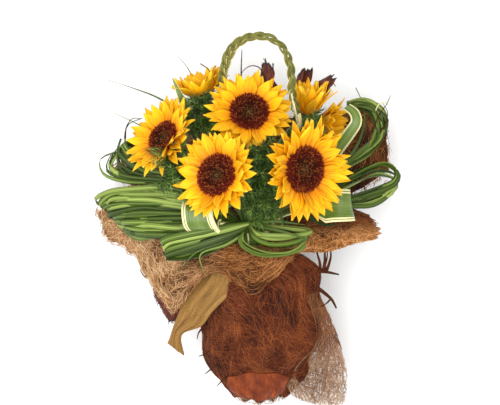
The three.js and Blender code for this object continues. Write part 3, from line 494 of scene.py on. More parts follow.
def wrap_at(segment, station, out=0.0, further=0.0):
    """A point on the wrap, with segment and station as running numbers, held out by a distance."""
    segment, station = np.broadcast_arrays(np.asarray(segment, float), np.asarray(station, float))
    smoothed = np.clip(station[..., None] + np.array([-0.3, -0.1, 0.1, 0.3]), 0, len(WRAP_STATIONS) - 1)
    along, half_width, half_depth, shift, sag = [
        np.interp(smoothed, np.arange(len(WRAP_STATIONS)), column).mean(axis=-1)
        for column in WRAP_STATIONS.T]
    angle = 2 * np.pi * segment / WRAP_SEGMENTS
    loose = np.clip(station - 1, 0, 1)
    crumple = 1 + loose * (0.05 * np.sin(3 * angle + station * 0.9)
                           + 0.035 * np.sin(7 * angle - station * 1.7))
    folds = loose * (1.5 * np.sin(13 * angle + 1.3 * np.sin(station * 1.1))
                     + 0.9 * np.sin(23 * angle - station * 2.3))
    across = shift + (half_width * crumple + folds - 1.2 * loose + out) * np.cos(angle)
    front = sag + (half_depth * crumple + folds - 1.2 * loose + out) * np.sin(angle)
    point = (TIE_DRAWN + across[..., None] * ACROSS + front[..., None] * FRONT
             + (along + further)[..., None] * ALONG)
    point[..., 2] = np.maximum(point[..., 2], TABLE_GAP)
    return point


def sheet_normals(grid):
    return unit(np.cross(np.gradient(grid, axis=0), np.gradient(grid, axis=1)))


def add_sheet(bundle, grid, thickness, around=False, tone=0.12):
    """A sheet of even thickness over a grid of points, closed at its edges, with its faces outwards."""
    rows, columns = grid.shape[:2]
    if around:
        out = sheet_normals(np.concatenate([grid[:, -2:], grid, grid[:, :2]], axis=1))[:, 2:-2]
    else:
        out = sheet_normals(grid)
    depth = rows * columns
    points = np.concatenate([(grid + side * out * thickness / 2).reshape(-1, 3) for side in (1, -1)])
    r, c = np.meshgrid(np.arange(rows - 1), np.arange(columns if around else columns - 1), indexing="ij")
    a, b = r * columns + c, r * columns + (c + 1) % columns
    front = np.stack([a + columns, b + columns, b, a], axis=-1).reshape(-1, 4)
    faces = front.tolist() + (front[:, ::-1] + depth).tolist()
    for first in (0, (rows - 1) * columns):
        for k in range(columns if around else columns - 1):
            p, q = first + k, first + (k + 1) % columns
            face = [q + depth, p + depth, p, q]
            faces.append(face if first == 0 else face[::-1])
    for first in () if around else (0, columns - 1):
        for k in range(rows - 1):
            p, q = first + k * columns, first + (k + 1) * columns
            face = [p + depth, q + depth, q, p]
            faces.append(face if first == 0 else face[::-1])
    u, v = np.meshgrid(np.linspace(0, 1, rows), np.linspace(-1, 1, columns), indexing="ij")
    strip = np.column_stack([np.tile(u.ravel(), 2), np.tile(v.ravel(), 2), np.full(2 * depth, tone)])
    add_part(bundle, points, faces, strip)


def fibre_material(name, near, far, near_end, far_end, axis="X"):
    """Dry palm fibre: matt strands, each of its own tone, in soft lighter and darker patches, changing hue
    from one place to another along an axis. Its grain is finer than here, and drawn coarse enough to show."""
    material, shader = start_material(name, 0.85, Specular_IOR_Level=0.25)
    _, _, _, tone = strip_values(material)
    place = add_node(material, "TexCoord").outputs["Object"]
    patches = add_node(material, "TexNoise", {"Vector": place, "Scale": 1 / (PATCH_SIZE * MM), "Detail": 5.0})
    spread = add_node(material, "MapRange", [patches, 0.3, 0.7, -0.2, 0.2])
    shade = add_node(material, "Math", [tone, spread], operation="ADD")
    hues = [add_node(material, "ValToRGB", [shade], ramp=dict(zip((0.0, 0.45, 1.0), hue)))
            for hue in (near, far)]
    way = add_node(material, "SeparateXYZ", [place]).outputs[axis]
    share = add_node(material, "MapRange", [way, near_end, far_end])
    colour = add_node(material, "Mix", {SHARE: share, FROM: hues[0], TO: hues[1]}, data_type="RGBA")
    grain = add_node(material, "TexNoise", {"Vector": place, "Scale": 1 / (GRAIN_SIZE * MM), "Detail": 2.0})
    lay_surface(material, shader, colour, grain, 0.7, 0.8)
    return material


def sample(grid, u, v):
    """Points on a grid at running shares u along and v across, straight on past its edges."""
    rows, columns = grid.shape[:2]
    x, y = np.asarray(u) * (rows - 1), np.asarray(v) * (columns - 1)
    i = np.clip(np.floor(x).astype(int), 0, rows - 2)
    j = np.clip(np.floor(y).astype(int), 0, columns - 2)
    x, y = (x - i)[:, None], (y - j)[:, None]
    return ((1 - x) * (1 - y) * grid[i, j] + x * (1 - y) * grid[i + 1, j]
            + (1 - x) * y * grid[i, j + 1] + x * y * grid[i + 1, j + 1])


def add_strands(bundle, grid, count, rng, lengthwise, spread, reach, radius, fray=0.0, off=0.6, swirl=0.0,
                curl=1.2, crossing=0.5):
    """Fibres lying on a grid of points, each running its own way and curling, some past the edge."""
    normals = sheet_normals(grid)
    tall = np.linalg.norm(np.diff(grid, axis=0), axis=2).sum(axis=0).mean()
    broad = np.linalg.norm(np.diff(grid, axis=1), axis=2).sum(axis=1).mean()
    share = np.linspace(-0.5, 0.5, 8)
    for _ in range(count):
        u, v = rng.uniform(-fray, 1 + fray), rng.uniform(-fray, 1 + fray)
        angle = lengthwise * (1 if rng.uniform() > crossing else -1) + rng.normal(0, spread)
        angle = angle + swirl * math.sin(6 * u + 4 * v) + rng.normal(0, curl) * share
        extent = reach * rng.uniform(0.4, 1.2)
        us = u + (np.cumsum(np.cos(angle)) / len(share) - 0.5 * math.cos(angle[0])) * extent / tall
        vs = v + (np.cumsum(np.sin(angle)) / len(share) - 0.5 * math.sin(angle[0])) * extent / broad
        inside = (us > -fray) & (us < 1 + fray) & (vs > -fray) & (vs < 1 + fray)
        if inside.sum() < 3:
            continue
        us, vs = us[inside], vs[inside]
        lift = off * rng.uniform(0.5, 1.7) + 0.4 * np.sin(7 * share[inside] + angle[0])
        path = sample(grid, us, vs) + lift[:, None] * sample(normals, np.clip(us, 0, 1), np.clip(vs, 0, 1))
        path[:, 2] = np.maximum(path[:, 2], radius)
        add_tube(bundle, path, radius * rng.uniform(0.6, 1.3), tone=0.25 + 0.75 * rng.uniform(0, 1) ** 1.3)


wrap_fibre = fibre_material(
    "palm_fibre_dark", ("#160604", "#43180d", "#7c4226"), ("#1b0704", "#682a10", "#a65e30"), -0.10, -0.01)
rng = np.random.default_rng(41)
segment, station = np.meshgrid(
    np.linspace(0, WRAP_SEGMENTS, WRAP_COLUMNS, endpoint=False), np.linspace(0, 9, 84))
wrap_grid = wrap_at(segment, station)
wrap_grid[-1] += 3.0 * np.sin(np.linspace(0, 90, WRAP_COLUMNS))[:, None] * ALONG
wrap_grid[..., 2] = np.maximum(wrap_grid[..., 2], TABLE_GAP)
wrap = new_bundle()
add_sheet(wrap, wrap_grid[:, ::-1], SHEET_THICKNESS, around=True)
wrap_piece = build("fibre_wrap_sheath", wrap, wrap_fibre)
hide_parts("fibre_wrap")
front_grid = wrap_grid[9:, :82][:, ::-1]
back_grid = np.concatenate([wrap_grid[9:, 78:], wrap_grid[9:, :2]], axis=1)[:, ::-1]
for part, part_grid, count in (("front", front_grid, 4300), ("back", back_grid, 1300)):
    strands = new_bundle()
    add_strands(strands, part_grid, count, rng, 0.8, 0.25, 76, 0.3, fray=0.012, off=0.7, swirl=0.8, curl=0.5,
                crossing=0.22)
    build(f"fibre_wrap_{part}_strands", strands, wrap_fibre)


# Fibre collars. Lighter, looser palm fibre spread out from the neck: one fan to the left and front, one
# tongue to the right, and one behind that the bunch lies on. Their edges are torn.
COLLAR_LEFT = [
    [[-62, -8, 160], [-60, -30, 174], [-40, -62, 194], [-18, -74, 205], [18, -78, 207], [48, -70, 202]],
    [[-131, 19, 138], [-107, -19, 163], [-75, -60, 187], [-37, -84, 202], [18, -88, 207], [70, -78, 200]],
    [[-179, 12, 112], [-163, -22, 126], [-140, -52, 146], [-113, -80, 164], [-85, -98, 182], [-46, -100, 197],
     [4, -98, 202], [66, -72, 197]],
    [[-216, 4, 94], [-200, -38, 106], [-166, -74, 128], [-138, -106, 146], [-110, -128, 162],
     [-80, -112, 178], [-54, -95, 193], [-28, -106, 198], [0, -118, 199], [30, -104, 198], [62, -80, 192]],
    [[-241, -17, 76], [-222, -52, 90], [-172, -90, 120], [-150, -128, 138], [-119, -164, 150],
     [-84, -130, 170], [-54, -103, 188], [-28, -115, 192], [-2, -136, 192], [28, -120, 191], [60, -90, 187]],
]
COLLAR_TONGUE = [
    [[58, -72, 186], [62, -62, 178], [64, -46, 166], [64, -30, 152]],
    [[114, -75, 168], [113, -58, 168], [118, -38, 162], [118, -14, 148]],
    [[154, -64, 150], [156, -46, 154], [156, -30, 150], [151, -8, 142]],
    [[190, -56, 136], [198, -46, 140], [192, -34, 140], [185, -20, 134]],
]
COLLAR_BACK = [
    [[64, -40, 124], [54, -20, 108], [36, -12, 94], [-20, -12, 94], [-50, -20, 106], [-66, -26, 122]],
    [[132, 2, 112], [112, 36, 74], [60, 50, 44], [-50, 50, 44], [-106, 34, 66], [-146, 8, 92]],
    [[184, 28, 96], [170, 92, 66], [92, 98, 10], [-70, 98, 8], [-146, 74, 34], [-192, 30, 72]],
    [[216, 50, 92], [204, 144, 70], [110, 140, -6], [-60, 134, -8], [-160, 108, -4], [-220, 52, 62]],
]
COLLAR_ROWS = 46


def smooth_path(controls, count):
    """Evenly spaced points on the centripetal Catmull-Rom curve through the control points."""
    p = np.array(controls, dtype=float)
    p = np.vstack([2 * p[0] - p[1], p, 2 * p[-1] - p[-2]])
    knots = np.concatenate([[0], np.cumsum(np.linalg.norm(np.diff(p, axis=0), axis=1) ** 0.5)])
    pieces = []
    for i in range(1, len(p) - 2):
        a, b, c, d = knots[i - 1:i + 3]
        t = np.linspace(b, c, 13)[:-1, None]
        ab = ((b - t) * p[i - 1] + (t - a) * p[i]) / (b - a)
        bc = ((c - t) * p[i] + (t - b) * p[i + 1]) / (c - b)
        cd = ((d - t) * p[i + 1] + (t - c) * p[i + 2]) / (d - c)
        abc = ((c - t) * ab + (t - a) * bc) / (c - a)
        bcd = ((d - t) * bc + (t - b) * cd) / (d - b)
        pieces.append(((c - t) * abc + (t - b) * bcd) / (c - b))
    fine = np.vstack([*pieces, p[-2:-1]])
    reach = np.concatenate([[0], np.cumsum(np.linalg.norm(np.diff(fine, axis=0), axis=1))])
    wanted = np.linspace(0, reach[-1], count)
    return np.column_stack([np.interp(wanted, reach, fine[:, axis]) for axis in range(3)])


def fan_grid(first, last, controls, rows, columns, rng):
    """A fan from the wrap's neck through rows of control points, crumpled and torn at its rim."""
    segments = np.linspace(first, last, columns)
    held = [wrap_at(segments, np.full(columns, 1.0), HELD_OUT, 4),
            wrap_at(segments, np.full(columns, 0.0), HELD_OUT)]
    guides = np.array(held + [smooth_path(row, columns) for row in controls])
    grid = np.stack([smooth_path(guides[:, k], rows) for k in range(columns)], axis=1)
    u, v = np.meshgrid(np.linspace(0, 1, rows), np.linspace(0, 1, columns), indexing="ij")
    phase = rng.uniform(0, 6, 6)
    waves = (np.sin(17 * v + 5 * u + phase[0]) + 0.8 * np.sin(29 * v - 9 * u + phase[1])
             + 0.7 * np.sin(13 * u + 11 * v + phase[2]) + 0.5 * np.sin(43 * v + 21 * u + phase[3]))
    grid = grid + (waves * np.clip(u * 2 - 0.3, 0, 1))[..., None] * sheet_normals(grid)
    outward = unit(grid[-1] - grid[-3])
    torn = (2.5 * np.sin(31 * v[-1] + phase[4]) + 2.0 * np.sin(67 * v[-1] + phase[5])
            + rng.uniform(-2, 2, columns))
    for back in range(4):
        grid[-1 - back] += outward * (torn * (1 - back / 4))[:, None]
    grid[..., 2] = np.maximum(grid[..., 2], SHEET_THICKNESS / 2 + 0.1)
    return grid


collar_fibre = fibre_material(
    "palm_fibre_light", ("#4c2a18", "#c08c58", "#f2d4a8"), ("#220e05", "#7a441a", "#c68a50"), -0.13, -0.03)
tongue_fibre = fibre_material(
    "palm_fibre_orange", ("#4a240e", "#c07c3a", "#f4c084"), ("#260e06", "#6e3818", "#a46836"),
    -0.022, 0.006, axis="Y")
for name, slot, first, last, controls, columns, material, count, way in (
    ("collar_front", "collar_tan", 11, 4, COLLAR_LEFT, 90, collar_fibre, 4200, 0.8),
    ("tongue_right", "tongue_tan", 3, 0, COLLAR_TONGUE, 44, tongue_fibre, 1500, 0.1),
    ("collar_back", "collar_tan", -1, -8, COLLAR_BACK, 90, collar_fibre, 3200, 0.7),
):
    rng = np.random.default_rng(51 + count)
    grid = fan_grid(first, last, controls, COLLAR_ROWS, columns, rng)
    bundle = new_bundle()
    add_sheet(bundle, grid, SHEET_THICKNESS)
    piece = build(f"fibre_{name}_sheet", bundle, material)
    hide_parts(f"fibre_{name}")
    strands = new_bundle()
    add_strands(strands, grid, count, rng, way, 0.6, 30, 0.42, fray=0.02, off=0.9, swirl=0.5, curl=2.2)
    add_strands(strands, grid, count // 16, rng, way, 0.5, 34, 0.4, fray=0.04, off=-0.9)
    loose = build(f"fibre_{name}_strands", strands, material)


# Grass blades. Long glossy leaves folded back on themselves in loops, a lighter rib along the middle, in
# bundles that grow from one knot of stalks each. A sheaf is filled in between its first and its last loop.
STALK_RING = 18.2
STALK_NECK = 11
STALK_FOOT = -16
KNOT_DEPTH = 5
BLADE_THICKNESS = 0.5
BLADE_KEEL = 0.09
BLADE_SIDES = np.array([-1, -0.5, 0, 0.5, 1, 0.5, 0, -0.5])
BLADE_UNDERSIDE = np.array([0, 0, 0, 0, 0, 1, 1, 1])
GRASS = {
    "left_low": dict(slot=162, knot=(-44, -22, 208), arriving=(-0.8, 0.1, 0.6), sheaves=[dict(
        first=[[-42, -16, 212], [-105, 17, 208], [-174, 23, 186], [-220, 18, 160], [-235, 2, 142],
               [-219, -7, 132], [-153, -4, 160], [-50, -20, 200]],
        last=[[-42, -26, 212], [-97, -50, 220], [-144, -53, 198], [-176, -51, 172], [-189, -44, 152],
              [-173, -39, 144], [-126, -33, 168], [-50, -24, 200]],
        count=24, width=8.5, flat=(0, 1, 0), spread=5)]),
    "left_high": dict(slot=180, knot=(-58, -2, 184), arriving=(-0.8, 0.3, 0.5), sheaves=[dict(
        first=[[-56, 0, 188], [-121, 24, 182], [-190, 34, 158], [-222, 50, 138], [-225, 69, 125],
               [-206, 82, 112], [-150, 58, 120], [-62, 0, 178]],
        last=[[-56, 2, 188], [-108, 38, 182], [-152, 52, 166], [-179, 68, 150], [-188, 87, 138],
              [-170, 92, 128], [-131, 62, 130], [-62, 0, 178]],
        count=16, width=7, flat=(0, 1, 0), spread=8)],
        tips=[[[-60, 2, 182], [-120, 42, 160], [-185, 81, 148],
               [-192, 96, 148], [-187, 119, 150], [-165, 129, 154]]],
        leaves=[[[-60, 2, 184], [-130, 36, 168], [-176, 54, 158], [-202, 78, 150], [-198, 98, 146]],
                [[-60, 2, 182], [-130, 30, 158], [-184, 44, 148], [-206, 50, 140]]]),
    "front": dict(slot=90, knot=(2, -34, 214), arriving=(0, 0.2, 1), sheaves=[dict(
        first=[[3, -30, 218], [-52, -40, 232], [-97, -48, 226], [-128, -57, 212], [-136, -64, 202],
               [-113, -67, 204], [-67, -60, 208], [-2, -40, 212]],
        last=[[4, -34, 218], [-47, -54, 230], [-89, -67, 222], [-120, -75, 210], [-128, -82, 201],
              [-108, -82, 203], [-63, -72, 209], [-2, -40, 212]],
        count=4, width=11, flat=(0, 1, 0), spread=3), dict(
        first=[[-2, -32, 218], [12, -44, 234], [40, -50, 236], [78, -46, 228], [90, -40, 220], [62, -36, 217],
               [6, -34, 214]],
        last=[[-2, -38, 218], [-14, -60, 227], [12, -77, 222], [56, -75, 214], [80, -60, 213], [60, -50, 214],
              [6, -38, 214]],
        count=6, width=10, flat=(0, 1, 0.1), spread=4)],
        tips=[[[0, -36, 216], [-40, -58, 219], [-80, -74, 219], [-106, -103, 212]],
              [[4, -37, 215], [-34, -62, 217], [-74, -78, 215], [-68, -107, 209]],
              [[2, -30, 216], [40, -28, 238], [82, -33, 236]],
              [[4, -34, 216], [59, -46, 236], [91, -58, 226]]]),
    "right_high": dict(slot=324, knot=(84, 20, 152), arriving=(0.8, 0.5, 0.2), sheaves=[dict(
        first=[[84, 22, 154], [118, 38, 160], [152, 60, 160], [180, 80, 158], [202, 102, 154],
               [208, 126, 150], [196, 146, 150], [171, 155, 152], [149, 152, 146]],
        last=[[86, 18, 154], [116, 36, 162], [145, 57, 164], [170, 76, 164], [189, 97, 162],
              [195, 119, 158], [185, 137, 157], [166, 143, 158], [152, 141, 148]],
        count=18, width=8.5, flat=(0.5, -0.5, 0.7), spread=6)],
        tips=[[[84, 20, 152], [152, 70, 164], [174, 118, 160], [172, 152, 154], [162, 176, 150]]],
        leaves=[[[84, 20, 154], [104, 22, 166], [124, 28, 168], [148, 40, 158]]]),
    "right_low": dict(slot=0, knot=(78, -12, 168), arriving=(0.9, 0, 0.3), sheaves=[dict(
        first=[[80, -8, 170], [144, 6, 176], [186, 20, 162], [223, 35, 148], [228, 49, 138], [209, 62, 132],
               [155, 44, 136], [80, -8, 162]],
        last=[[80, -14, 170], [144, -5, 178], [185, -3, 168], [217, 17, 152], [225, 33, 143], [201, 40, 137],
              [154, 24, 140], [80, -12, 162]],
        count=10, width=7, flat=(0, 1, 0.2), spread=4)],
        leaves=[[[80, -8, 166], [92, -24, 176], [110, -34, 180], [132, -34, 172]]]),
    "tips": dict(slot=234, knot=(-52, 40, 150), arriving=(-0.5, 0.8, 0.2), sheaves=[],
        tips=[[[-52, 40, 150], [-92, 110, 158], [-128, 152, 172], [-181, 174, 190], [-213, 184, 195]],
              [[-54, 42, 148], [-78, 120, 132], [-90, 195, 122], [-101, 214, 134], [-122, 236, 142]],
              [[-56, 40, 148], [-120, 92, 142], [-180, 124, 150], [-208, 137, 152]]]),
}


def stalk_path(slot, knot, arriving):
    """The way of a stalk from its place round the tie to the knot that its bundle grows from."""
    angle = math.radians(slot)
    sideways, forward = STALK_RING * math.cos(angle), STALK_RING * math.sin(angle)
    neck = in_bunch(sideways, forward, STALK_NECK)
    bend = bent_stalk(neck, np.array(knot, dtype=float), unit(np.array(arriving, dtype=float)), 0.4, 16)
    return np.vstack([in_bunch(sideways, forward, STALK_FOOT)[None], bend])


def add_blade(bundle, path, width, flat, tone, tip=0.0, twist=0.0):
    """A strap with a shallow keel along a path, narrowing to its tip where it has one."""
    _, side, up = carried_frames(path, flat)
    t = np.linspace(0, 1, len(path))
    angle = twist * t[:, None]
    side, up = np.cos(angle) * side + np.sin(angle) * up, np.cos(angle) * up - np.sin(angle) * side
    half = width / 2 * np.clip(0.55 + 4 * t, 0, 1)
    if tip:
        half = half * np.clip((1 - t) / tip, 0.14, 1) ** 0.8
    height = BLADE_KEEL * width * np.abs(BLADE_SIDES) - BLADE_UNDERSIDE * BLADE_THICKNESS
    rings = (path[:, None] + (half[:, None] * BLADE_SIDES)[..., None] * side[:, None]
             + (height[None] * (half / (width / 2))[:, None])[..., None] * up[:, None])
    points, faces = skin(rings)
    strip = np.column_stack([np.repeat(t, 8), np.tile(BLADE_SIDES, len(path)), np.full(len(points), tone)])
    add_part(bundle, points, [face[::-1] for face in faces], strip)


# Fresh grass: a waxy leaf with a soft gloss, long fine streaks 0.4 mm wide and a lighter middle rib.
grass, grass_shader = start_material("glossy_grass", 0.5, Specular_IOR_Level=0.3)
strip, _, across, tone = strip_values(grass)
lines = streaks(grass, strip, size=(325, 3.8), streak=(130, 0.38))
off_middle = add_node(grass, "Math", [across], operation="ABSOLUTE")
lighter_middle = add_node(grass, "MapRange", [off_middle, 0.0, 0.25, 0.16, 0.0])
toned_lines = add_node(grass, "Math", [lines, tone], operation="ADD")
grass_shade = add_node(grass, "Math", [toned_lines, 0.5, lighter_middle], operation="MULTIPLY_ADD")
grass_colour = add_node(grass, "ValToRGB", [grass_shade], ramp={
    0.22: "#1a2606", 0.5: "#4c6418", 0.8: "#a6b85c"})
lay_surface(grass, grass_shader, grass_colour, lines, 0.3, 0.5)

for name, tuft in GRASS.items():
    rng = np.random.default_rng(61 + len(name) * 7 + tuft["slot"])
    blades = new_bundle()
    knot = np.array(tuft["knot"]) + KNOT_DEPTH * unit(np.array(tuft["arriving"], dtype=float))
    way = stalk_path(tuft["slot"], knot, tuft["arriving"])
    add_tube(blades, way, np.linspace(2.4, 5.0, len(way)), sides=10, tone=0.5)
    for sheaf in tuft["sheaves"]:
        first, last = np.array(sheaf["first"], float), np.array(sheaf["last"], float)
        for i in range(sheaf["count"]):
            controls = first + (last - first) * (i / (sheaf["count"] - 1))
            astray = (sheaf["spread"], sheaf["spread"] * 0.6, 3)
            controls[1:-1] += rng.uniform(-1, 1, controls[1:-1].shape) * astray
            wide = sheaf["width"] * rng.uniform(0.7, 1.15)
            add_blade(blades, smooth_path(controls, 44), wide, sheaf["flat"], rng.uniform(0.0, 0.9),
                      twist=rng.uniform(-1, 1))
    for tip in tuft.get("tips", []):
        thin = 4.0 if name == "tips" else 6.0
        add_blade(blades, smooth_path(tip, 30), thin, (0, 1, 0), rng.uniform(0.2, 0.6), tip=0.6)
    for leaf in tuft.get("leaves", []):
        add_blade(blades, smooth_path(leaf, 30), 17, (0.7, -0.7, 0.2), 0.15, tip=0.5)
    piece = build(f"grass_{name}_blades", blades, grass)
    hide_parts(f"grass_{name}")


# Variegated leaves. Broad glossy straps with cream margins, rolled over into loops under and beside the
# heads. Each starts where its stalk ends.
LEAVES = {
    "roll_left": dict(slot=126, start=(-46, -30, 236), arriving=(-0.6, 0, 0.8), width=46, flat=(1, 0, 0),
        taper=0,
        route=[[-50, -28, 238], [-62, -36, 243], [-69, -38, 257], [-75, -28, 267], [-77, -10, 268],
               [-75, 0, 258], [-72, 0, 244]]),
    "band_right": dict(slot=18, start=(92, -12, 206), arriving=(0.8, 0, 0.6), width=50, flat=(0, 1, 0),
        taper=0.2,
        route=[[94, -10, 208], [118, -5, 222], [142, -4, 224], [153, -4, 212], [146, -4, 198],
               [124, -4, 194]]),
    "fold_right": dict(slot=342, start=(110, 42, 166), arriving=(0.5, 0.7, 0.3), width=20, flat=(1, -0.3, 0),
        taper=0.3,
        route=[[113, 48, 170], [130, 78, 190], [149, 104, 203], [159, 121, 208], [156, 134, 206],
               [145, 144, 198]]),
    "back_left": dict(slot=198, start=(-72, 96, 174), arriving=(-0.2, 0.8, 0.4), width=16,
        flat=(0.8, 0.4, -0.4), taper=0.95,
        route=[[-74, 98, 178], [-87, 122, 196], [-98, 146, 206], [-108, 168, 211], [-116, 186, 212]]),
}
LEAF_THICKNESS = 0.7
LEAF_DISH = 0.03
WIDE_MARGIN = 1.3

# A smooth leathery leaf: the glossiest green here, with lines 0.75 mm wide and a crisp cream margin
# that holds one thin dark line. Its middle is painted lighter along the whole strap, a painted highlight.
cream, cream_shader = start_material("variegated_leaf", 0.32, Specular_IOR_Level=0.5)
strip, _, across, _ = strip_values(cream)
leaf_lines = streaks(cream, strip, size=(114, 16.5), streak=(57, 0.75))
off_middle = add_node(cream, "Math", [across], operation="ABSOLUTE")
wavy = add_node(cream, "Math", [leaf_lines, 0.12, off_middle], operation="MULTIPLY_ADD")
leaf_green = add_node(cream, "ValToRGB", [leaf_lines], ramp={
    0.3: "#304a0c", 0.55: "#4e6a16", 0.75: "#88983e"})
margin = add_node(cream, "ValToRGB", [wavy], ramp={
    0.0: "#000000", 0.79: "#000000", 0.82: "#ffffff", 0.88: "#ffffff", 0.90: "#303030", 0.93: "#303030",
    0.95: "#ffffff"})
# Painted highlight: the strap is made lighter towards its middle.
lighter_middle = add_node(cream, "MapRange", [off_middle, 0.0, 0.7, 0.45, 0.0])
lit = add_node(cream, "Mix", {SHARE: lighter_middle, FROM: leaf_green, TO: srgb("#889c4e")}, data_type="RGBA")
edged = add_node(cream, "Mix", {SHARE: margin, FROM: lit, TO: srgb("#ece3a6")}, data_type="RGBA")
lay_surface(cream, cream_shader, edged, leaf_lines, 0.25, 0.5)

for name, leaf in LEAVES.items():
    strap = new_bundle()
    path = smooth_path([leaf["start"], *leaf["route"]], 48)
    ahead, side, up = carried_frames(path, leaf["flat"])
    if name == "roll_left":
        side = unit(ACROSS - ahead[:, :1] * ahead)
        up = np.cross(ahead, side)
    t = np.linspace(0, 1, len(path))
    half = leaf["width"] / 2 * np.minimum(1, 0.25 + 3.5 * t) * (1 - leaf["taper"] * t ** 3)
    across = np.linspace(-1, 1, 15)
    dish = -LEAF_DISH * leaf["width"] * (1 - np.abs(across))
    grid = (path[:, None] + (half[:, None] * across)[..., None] * side[:, None]
            + (dish[None] * (half / half.max())[:, None])[..., None] * up[:, None])
    add_sheet(strap, grid, LEAF_THICKNESS, tone=0.5)
    if name == "roll_left":
        own = np.array(strap["strip"][0])
        own[:, 1] = np.where(own[:, 1] > 0, own[:, 1] * WIDE_MARGIN, own[:, 1])
        strap["strip"][0] = own
    way = stalk_path(leaf["slot"], leaf["start"], leaf["arriving"])
    add_tube(strap, way, np.linspace(2.4, 3.0, len(way)), sides=10, tone=0.5)
    piece = build(f"leaf_{name}_strap", strap, cream)
    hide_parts(f"leaf_{name}")


# Dried curls. Brittle dark red-brown leaves rolled about their own length, with torn tips. A further scroll
# of the same node hangs on a thin stalk from the first.
DRIED = {
    "curl_left": dict(slot=270, curls=[dict(start=(28, 152, 172), tip=(26, 210, 204), begins=0.2)]),
    "curls_right": dict(slot=288, curls=[
        dict(start=(76, 146, 146), tip=(87, 200, 168), begins=2.2),
        dict(start=(104, 160, 136), tip=(128, 192, 150), begins=1.2)]),
}
SCROLL_RADIUS = 13
SCROLL_TURN = 3.6
SCROLL_COLUMNS = 30

# Dry leaf: papery and dull, with veins 3 mm wide, and nearly black where its tip is scorched.
dried, dried_shader = start_material("dried_leaf", 0.75)
strip, along, _, _ = strip_values(dried)
dry_veins = streaks(dried, strip, size=(55, 18), streak=(11, 3), detail=5.0)
dried_colour = add_node(dried, "ValToRGB", [dry_veins], ramp={
    0.3: "#2c0e0a", 0.5: "#6c2c1f", 0.75: "#a55c42"})
at_tip = add_node(dried, "MapRange", [along, 0.78, 0.96, 0.0, 0.85])
scorched = add_node(dried, "Mix", {SHARE: at_tip, FROM: dried_colour, TO: srgb("#160806")}, data_type="RGBA")
lay_surface(dried, dried_shader, scorched, dry_veins, 0.6, 1.2)

for name, bunch in DRIED.items():
    rng = np.random.default_rng(71 + bunch["slot"])
    scrolls = new_bundle()
    spines = []
    for curl in bunch["curls"]:
        start, tip = np.array(curl["start"], float), np.array(curl["tip"], float)
        ahead = unit(tip - start)
        side = unit(np.cross(ahead, FRONT))
        up = np.cross(side, ahead)
        t, share = np.meshgrid(np.linspace(0, 1, 26), np.linspace(0, 1, SCROLL_COLUMNS), indexing="ij")
        angle = curl["begins"] + share * SCROLL_TURN
        radius = SCROLL_RADIUS * (0.35 + 0.65 * np.sin(np.pi * (0.15 + 0.7 * t))) * (1 - share * 0.2)
        radius = radius * (1 + 0.2 * np.sin(9 * share + 6 * t) + 0.12 * np.sin(19 * share - 13 * t)
                           + 0.08 * np.sin(19 * t + 8 * share))
        torn = (0.04 * np.sin(11 * share + 2) + 0.03 * np.sin(27 * share)
                + 0.02 * rng.uniform(-1, 1, SCROLL_COLUMNS)[None])
        reach = t - 0.07 * np.cos(angle * 1.7) * t + torn * t ** 3
        grid = (start + reach[..., None] * (tip - start) + (radius * np.cos(angle))[..., None] * side
                + (radius * np.sin(angle))[..., None] * up)
        add_sheet(scrolls, grid, SHEET_THICKNESS)
        spines.append((grid[0, SCROLL_COLUMNS // 2], ahead))
    root, ahead = spines[0]
    way = stalk_path(bunch["slot"], root, ahead)
    add_tube(scrolls, way, np.linspace(2.4, 2.6, len(way)), sides=8, tone=0.4)
    low = root - 3 * ahead
    for spine, _ in spines[1:]:
        branch = smooth_path([low, (low + spine) / 2 - 8 * FRONT, spine], 12)
        add_tube(scrolls, branch, np.linspace(2.2, 1.8, 12), sides=7, tone=0.4)
    piece = build(f"dried_{name}_scrolls", scrolls, dried)
    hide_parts(f"dried_{name}")


# Carrying handle. Long grass blades plaited in three flat strands and bent into an arch whose feet go down
# among the stalks. The strands have cream edges and dry to olive and straw.
HANDLE_ARCH = [
    [-47, 155, 188], [-43, 174, 203], [-39, 193, 218], [-34, 211, 235], [-25, 226, 253], [-11, 236, 271],
    [6, 240, 285], [23, 239, 293], [38, 231, 295], [50, 218, 294], [57, 201, 291], [60, 182, 286],
    [60, 163, 279], [64, 145, 268], [70, 129, 250],
]
PLAIT_LENGTH = 306
PLAIT_CROSSINGS = 11
PLAIT_HALF_WIDTH = 3.7
PLAIT_HALF_DEPTH = 2.2
PLY_HALF_WIDTH = 2.3
PLY_FLATNESS = 0.34

# Grass plaited fresh and half dried: satin olive plies with a straw coloured edge and lines 0.5 mm wide.
plaited, plaited_shader = start_material("plaited_grass", 0.55)
strip, _, across, tone = strip_values(plaited)
ply_lines = streaks(plaited, strip, size=(PLAIT_LENGTH, PLY_HALF_WIDTH), streak=(12.75, 0.46))
olive = add_node(plaited, "ValToRGB", [ply_lines], ramp={0.3: "#2c2e0a", 0.5: "#6a6a24", 0.72: "#a4a04c"})
straw = add_node(plaited, "ValToRGB", [ply_lines], ramp={0.3: "#ccbc70", 0.7: "#f4ecbc"})
edge = add_node(plaited, "Math", [across, tone], operation="ADD")
pick = add_node(plaited, "ValToRGB", [edge], ramp={0.0: "#000000", 0.68: "#000000", 0.8: "#ffffff"})
plait_mix = add_node(plaited, "Mix", {SHARE: pick, FROM: olive, TO: straw}, data_type="RGBA")
lay_surface(plaited, plaited_shader, plait_mix, ply_lines, 0.5, 0.6)

